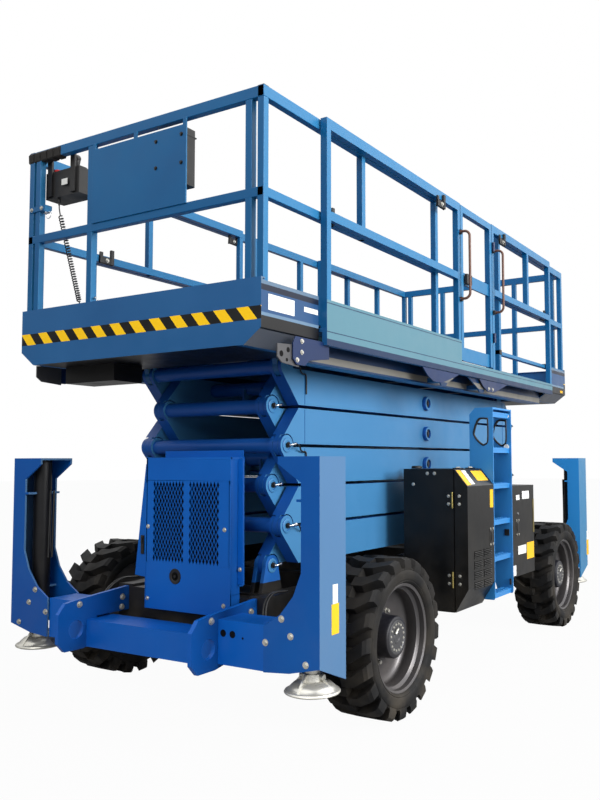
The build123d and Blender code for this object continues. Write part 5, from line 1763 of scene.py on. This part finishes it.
@dataclass
class Platform:
    """Pads, locks, pins, brackets, marker and gate fittings of the platform.

    Attributes:
        front: X of the front top rail's outer face.
        rail: Lowest and highest Z of the top rails.
        middle: Z of the middle rails' centre.
        main: Y of the main rails' outer faces.
        extension: Y of the extension rails' outer faces.
        deck: Z of the roll-out deck's top, where its posts stand.
        tube: Width of a rail tube.
        posts: Y of the front posts between the corners.
        hooks: Name, place and body of each rail lock.
    """

    front: float = 2.323
    rail: tuple[float, float] = (3.120, 3.178)
    middle: float = 2.658
    main: float = 0.910
    extension: float = 0.862
    deck: float = 2.078
    tube: float = 0.040
    posts: tuple[float, ...] = (-0.785, -0.345, 0.768)
    hooks: tuple[tuple[str, float, float, float, str], ...] = (
        ("front_left", 0.475, 0.910, 3.120, "platform"), ("rear_left", -0.640, 0.910, 3.120, "platform"),
        ("front_right", 0.475, -0.870, 3.120, "platform"),
        ("middle_right", 1.780, -0.822, 2.690, "front_extension"),
        ("middle_left", 1.780, 0.862, 2.690, "front_extension"),
        ("middle_rear", -1.740, 0.862, 2.690, "rear_extension"))

    def pads(self) -> None:
        """Ribbed foam sleeves round the front corner of the top rail."""
        low, high = self.rail[0] - 0.006, self.rail[1] + 0.0004
        outline = [(self.front + 0.005, low + 0.006), (self.front + 0.007, high - 0.014), (self.front - 0.004, high),
                   (self.front - 0.046, high), (self.front - 0.047, low), (self.front - 0.002, low)]
        flat = [(z, x) for x, z in outline]
        ribs = [prism(flat, Axis.Y, -0.868 + 0.056 * k, -0.868 + 0.056 * k + 0.043) for k in range(5)]
        core = block((self.front - 0.041, self.front + 0.0005), (-0.866, -0.590), (low + 0.005, high - 0.0035))
        new_piece("corner_pads", joined(*ribs, core), FOAM, "front_extension", bevel=0.0035)

    def lock(self, name: str, x: float, y: float, z: float, body: str) -> None:
        """A hooked rail lock: a clamp on the rail's left face with an upright tongue and a pin.

        Args:
            name: Its place.
            x: Its middle along X.
            y: The rail's left face.
            z: Its middle along Z.
            body: The body that carries it.
        """
        parts = [block((x + low, x + high), (y + 0.002, y + thick), (z - 0.062, z + top))
                 for low, high, thick, top in ((-0.055, 0.055, 0.016, -0.018), (-0.055, -0.030, 0.020, 0.034),
                                               (0.030, 0.055, 0.014, 0.010))]
        new_piece(f"rail_lock_{name}", joined(*parts), PLASTIC, body, bevel=0.003)
        pin = bolts([(x, y + 0.016, z - 0.040)], Axis.Y, 1, 0.010, 0.010)
        new_piece(f"rail_lock_pin_{name}", pin, ZINC, body)

    def cap(self, name: str, places: list[Point], body: str) -> None:
        """Low plastic caps on the upper ends of square tubes.

        Args:
            name: The piece's name.
            places: Middle of each tube's end.
            body: The body that carries them.
        """
        cap = block((-0.019, 0.019), (-0.019, 0.019), (0.0, 0.0012))
        new_piece(name, cap.tiled(np.array(places)), PLASTIC, body, bevel=0.0005)

    def front_rails(self) -> None:
        """The roll-out deck's railing: square tubes along three sides, and a sheet for the papers' case."""
        face, back, half = self.extension, self.front - self.tube, self.tube / 2
        top, mid = self.rail, (self.middle - 0.024, self.middle + 0.024)
        head = top[0] + 0.001
        bars = []
        for side in (1, -1):
            y = sorted((side * face, side * (face - self.tube)))
            bars += [block((0.403, self.front), y, height) for height in (top, mid)]
            inset = (y[0] + 0.0004, y[1] - 0.0004)
            for x, foot in ((self.front - half, self.deck), (0.423, self.deck), (1.387, mid[0])):
                bars.append(block((x - 0.0196, x + 0.0196), inset, (foot, head)))
        bars += [block((back, self.front), (0.001 - face, face - 0.001), (low + 0.0004, high - 0.0004))
                 for low, high in (top, mid)]
        bars += [block((back + 0.0006, self.front - 0.0006), (y - half, y + half), (self.deck, head))
                 for y in self.posts]
        rails = new_piece("front_rail_tubes", joined(*bars), RAIL_BLUE, "front_extension", bevel=0.0035)
        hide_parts("front_extension_rails")
        thick = (self.front, self.front + 0.008)
        tabs = [block(thick, (y - 0.012, y + 0.012), (3.086, 3.124)) for y in (-0.306, 0.010, 0.361)]
        sheet = joined(block(thick, (-0.318, 0.373), (2.676, 3.088)), *tabs)
        new_piece("case_sheet", sheet, RAIL_BLUE, "front_extension", bevel=0.001)

    def holder(self) -> None:
        """Screws through the sheet under the front top rail."""
        face = self.front + 0.008
        places = [(face, y, z) for y, z in ((0.163, 3.034), (0.340, 3.039), (0.163, 2.893), (0.340, 2.891))]
        new_piece("holder_screws", bolts(places, Axis.X, 1, 0.008, 0.007), FRAME_BLACK, "front_extension")

    def pins(self) -> None:
        """Post clamps with their pull rings on the front posts, and lock pins at the posts' feet."""
        clamp = joined(block((self.front, self.front + 0.006), (-0.848, -0.722), (2.818, 2.848)),
                       block((self.front - 0.046, self.front + 0.004), (-0.722, -0.716), (2.812, 2.852)))
        new_piece("post_clamp", clamp, RAIL_BLUE, "front_extension", bevel=0.001)
        screws = bolts([(self.front + 0.006, y, 2.833) for y in (-0.828, -0.742)], Axis.X, 1, 0.009, 0.008)
        new_piece("post_clamp_screws", screws, ZINC, "front_extension")
        angle = np.linspace(0, 1.9 * pi, 28)
        loops = []
        for x, y, z, radius in ((self.front - 0.010, -0.700, 2.790, 0.020), (self.front - 0.030, -0.318, 2.262, 0.018),
                                (self.front - 0.030, -0.835, 2.262, 0.014)):
            path = np.stack([np.full(len(angle), x), y + radius * np.cos(angle), z + radius * np.sin(angle)], axis=-1)
            loops.append(tube(path, 0.0022, 8))
        shafts = [turned([(0.0, -0.03), (0.006, -0.03), (0.006, 0.03), (0.0, 0.03)], Axis.Y, place, 12)
                  for place in ((self.front - 0.020, -0.715, 2.808), (self.front - 0.020, -0.330, 2.268),
                                (self.front - 0.020, -0.835, 2.268))]
        new_piece("post_pins", joined(*loops, *shafts), CHROME, "front_extension", 50)

    def skirts(self) -> None:
        """Gussets and their screws under the main deck's left and right edges."""
        outline = [(1.966, -0.738), (1.966, -0.170), (1.915, -0.245), (1.885, -0.330), (1.885, -0.455), (1.925, -0.600)]
        y = self.main + 0.0005
        gussets = [prism([(z, x + shift) for z, x in outline], Axis.Y, y - 0.008, y) for shift in (0.0, 0.920)]
        new_piece("deck_gussets", both_sides(joined(*gussets)), NOSE_BLUE, "platform", bevel=0.001)
        screws = bolts([(x, y, 1.905) for x in (-0.345, -0.420)], Axis.Y, 1, 0.010, 0.008)
        new_piece("gusset_screws", both_sides(screws), ZINC, "platform")

    def noses(self) -> None:
        """Bolted guide plates at the main deck's front corners, and blank plates on the roll-out deck."""
        blue = [(1.985, 1.800), (1.985, 2.100), (1.950, 2.120), (1.870, 2.120), (1.845, 2.090), (1.845, 2.020),
                (1.875, 1.980), (1.900, 1.800)]
        grey = [(1.945, 2.060), (1.935, 2.235), (1.870, 2.235), (1.845, 2.200), (1.835, 2.060)]
        new_piece("nose_plates", both_sides(prism(blue, Axis.Y, 0.884, 0.892)), NOSE_BLUE, "platform", bevel=0.001)
        new_piece("nose_brackets", both_sides(prism(grey, Axis.Y, 0.874, 0.882)), HUB_GREY, "platform", bevel=0.001)
        places = [(2.048, 0.892, 1.965), (2.049, 0.892, 1.910), (2.088, 0.892, 1.868)]
        new_piece("nose_screws", both_sides(bolts(places, Axis.Y, 1, 0.0095, 0.008)), ZINC, "platform")
        # Near-black discs paint the shade in the brackets' holes.
        holes = [turned([(0.0, 0.0007), (radius, 0.0007), (radius, -0.001), (0.0, -0.001)], Axis.Y, (x, 0.882, z), 20)
                 for x, z, radius in ((2.205, 1.888, 0.015), (2.150, 1.912, 0.013), (2.160, 1.862, 0.009))]
        new_piece("nose_holes", both_sides(joined(*holes)), SHADE_AND_BLACK, "platform")
        y = (self.extension + 0.0058, self.extension + 0.0070)
        large, small = block((2.079, 2.291), y, (2.088, 2.165)), block((1.872, 1.995), y, (2.124, 2.150))
        new_piece("deck_side_plates", joined(large, small), WHITE, "front_extension")

    def gate(self) -> None:
        """Latch box, hinge barrels and bump stops of the entry gate."""
        box = block((-0.006, 0.080), (0.9105, 0.934), (2.616, 2.690))
        new_piece("gate_latch_box", box, PLASTIC, "entry_gate", bevel=0.004)
        barrels = [turned([(0.0, z - 0.035), (0.011, z - 0.035), (0.011, z + 0.035), (0.0, z + 0.035)], Axis.Z,
                          (-0.452, 0.921, 0.0), 16) for z in (2.30, 3.00)]
        new_piece("gate_hinge_barrels", joined(*barrels), NOSE_BLUE, "platform", 40)
        grips = [block((x - 0.012, x + 0.012), (0.9105, 0.930), (z - 0.016, z + 0.016)) for x in (0.157, -0.457)
                 for z in (2.495, 2.970)]
        new_piece("grab_rail_sockets", joined(*grips), PLASTIC, "platform", bevel=0.003)

    def build(self) -> None:
        """Makes the fittings in order."""
        self.pads()
        self.front_rails()
        self.holder()
        self.pins()
        self.skirts()
        self.noses()
        self.gate()
        for hook in self.hooks:
            self.lock(*hook)
        z = self.rail[1] - 0.0002
        self.cap("extension_caps", [(2.303, y, z) for y in (-0.842, 0.842)], "front_extension")
        self.cap("main_caps", [(x, y, z) for x in (1.828, -1.828) for y in (0.890, -0.890)], "platform")
        sleeves = joined(*[block(x, (0.8225, 0.866), (2.2065, 2.2455)) for x in ((-0.742, -0.700), (-1.850, -1.815))])
        new_piece("low_rail_ends", sleeves, PLASTIC, "rear_extension", bevel=0.003)
        marker = block((-2.300, -2.230), (0.8675, 0.8705), (2.010, 2.032))
        new_piece("side_marker", marker, YELLOW, "rear_extension", bevel=0.001)


@dataclass
class Controls:
    """Cheeks, stick, switches, stop button and plate of the platform control box, and the manual case's lid.

    Attributes:
        face: X of the box's front.
        ends: Y of its two ends.
        top: Z of its top.
        stick: X and Y of the stick.
        stop: X and Y of the stop button.
        keys: X, Y and Z of the first switch, and the steps to the next row and the next switch in a row.
    """

    face: float = 2.275
    ends: tuple[float, float] = (-0.790, -0.505)
    top: float = 3.040
    stick: tuple[float, float] = (2.205, -0.595)
    stop: tuple[float, float] = (2.233, -0.730)
    keys: tuple[Point, Point, Point] = ((2.160, -0.690, 3.028), (0.034, 0.0, 0.010), (0.0, 0.036, 0.0))

    BOOT = ((0.030, 0.0), (0.031, 0.006), (0.025, 0.010), (0.027, 0.016), (0.020, 0.021), (0.022, 0.027),
            (0.014, 0.032), (0.012, 0.050), (0.0, 0.050))
    GRIP = ((0.0, 0.045), (0.013, 0.045), (0.016, 0.055), (0.019, 0.075), (0.018, 0.092), (0.012, 0.102), (0.0, 0.104))
    BUTTON = ((0.011, 0.0), (0.011, 0.012), (0.0195, 0.014), (0.0205, 0.019), (0.018, 0.025), (0.0, 0.027))

    def build(self) -> None:
        """Makes the fittings on the box."""
        body, top = "front_extension", self.top
        cheeks = [block((self.face - 0.155, self.face - 0.013), (y, y + 0.005), (top - 0.110, top + 0.005))
                  for y in (self.ends[0] + 0.009, self.ends[1] - 0.014)]
        new_piece("control_cheeks", joined(*cheeks), PLASTIC, body, bevel=0.002)
        boot = turned(list(self.BOOT), Axis.Z, (*self.stick, top + 0.010), 28)
        grip = turned(list(self.GRIP), Axis.Z, (*self.stick, top + 0.006), 28)
        new_piece("joystick", joined(boot, grip), PLASTIC, body, 50)
        new_piece("stop_button", turned(list(self.BUTTON), Axis.Z, (*self.stop, top + 0.016), 28), RED, body, 50)
        collar = turned([(0.0, 0.0), (0.021, 0.0), (0.020, 0.004), (0.0, 0.004)], Axis.Z, (*self.stop, top + 0.014), 28)
        new_piece("stop_collar", collar, YELLOW, body, 50)
        first, row, step = np.array(self.keys)
        caps = block((-0.008, 0.008), (-0.012, 0.012), (0.0, 0.012))
        places = np.array([first + a * row + b * step for a in range(2) for b in range(3)])
        new_piece("toggle_caps", caps.tiled(places), SHADE_AND_BLACK, body, bevel=0.001)
        plate = block((self.face, self.face + 0.0009), (-0.640, -0.590), (2.965, 3.000))
        new_piece("control_plate", plate, WHITE, body)
        lid = joined(block((2.196, 2.2745), (0.128, 0.3225), (3.060, 3.0665)),
                     block((2.2735, 2.2765), (0.300, 0.3165), (2.815, 3.05)))
        new_piece("case_lid", lid, PLASTIC, body, bevel=0.002)


def main() -> None:
    """Builds the stage and then each sub-assembly in order, and reports each piece."""
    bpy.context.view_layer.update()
    wheels = [Wheel(f"{end}_{hand}", side) for end in ("front", "rear") for hand, side in (("left", 1), ("right", -1))]
    for part in (Stage(), CurlyCord(), NodeFinishes(), *wheels, FrontCover(), Outriggers(), Ladder(), SideBays(),
                 ScissorStack(), Platform(), Controls()):
        before = set(bpy.data.objects.keys())
        part.build()
        for name in sorted(set(bpy.data.objects.keys()) - before):
            log.info("%s: %s", type(part).__name__, name)
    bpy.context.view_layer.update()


if __name__ == "__main__":
    logging.basicConfig(level=logging.INFO, format="%(message)s")
    main()
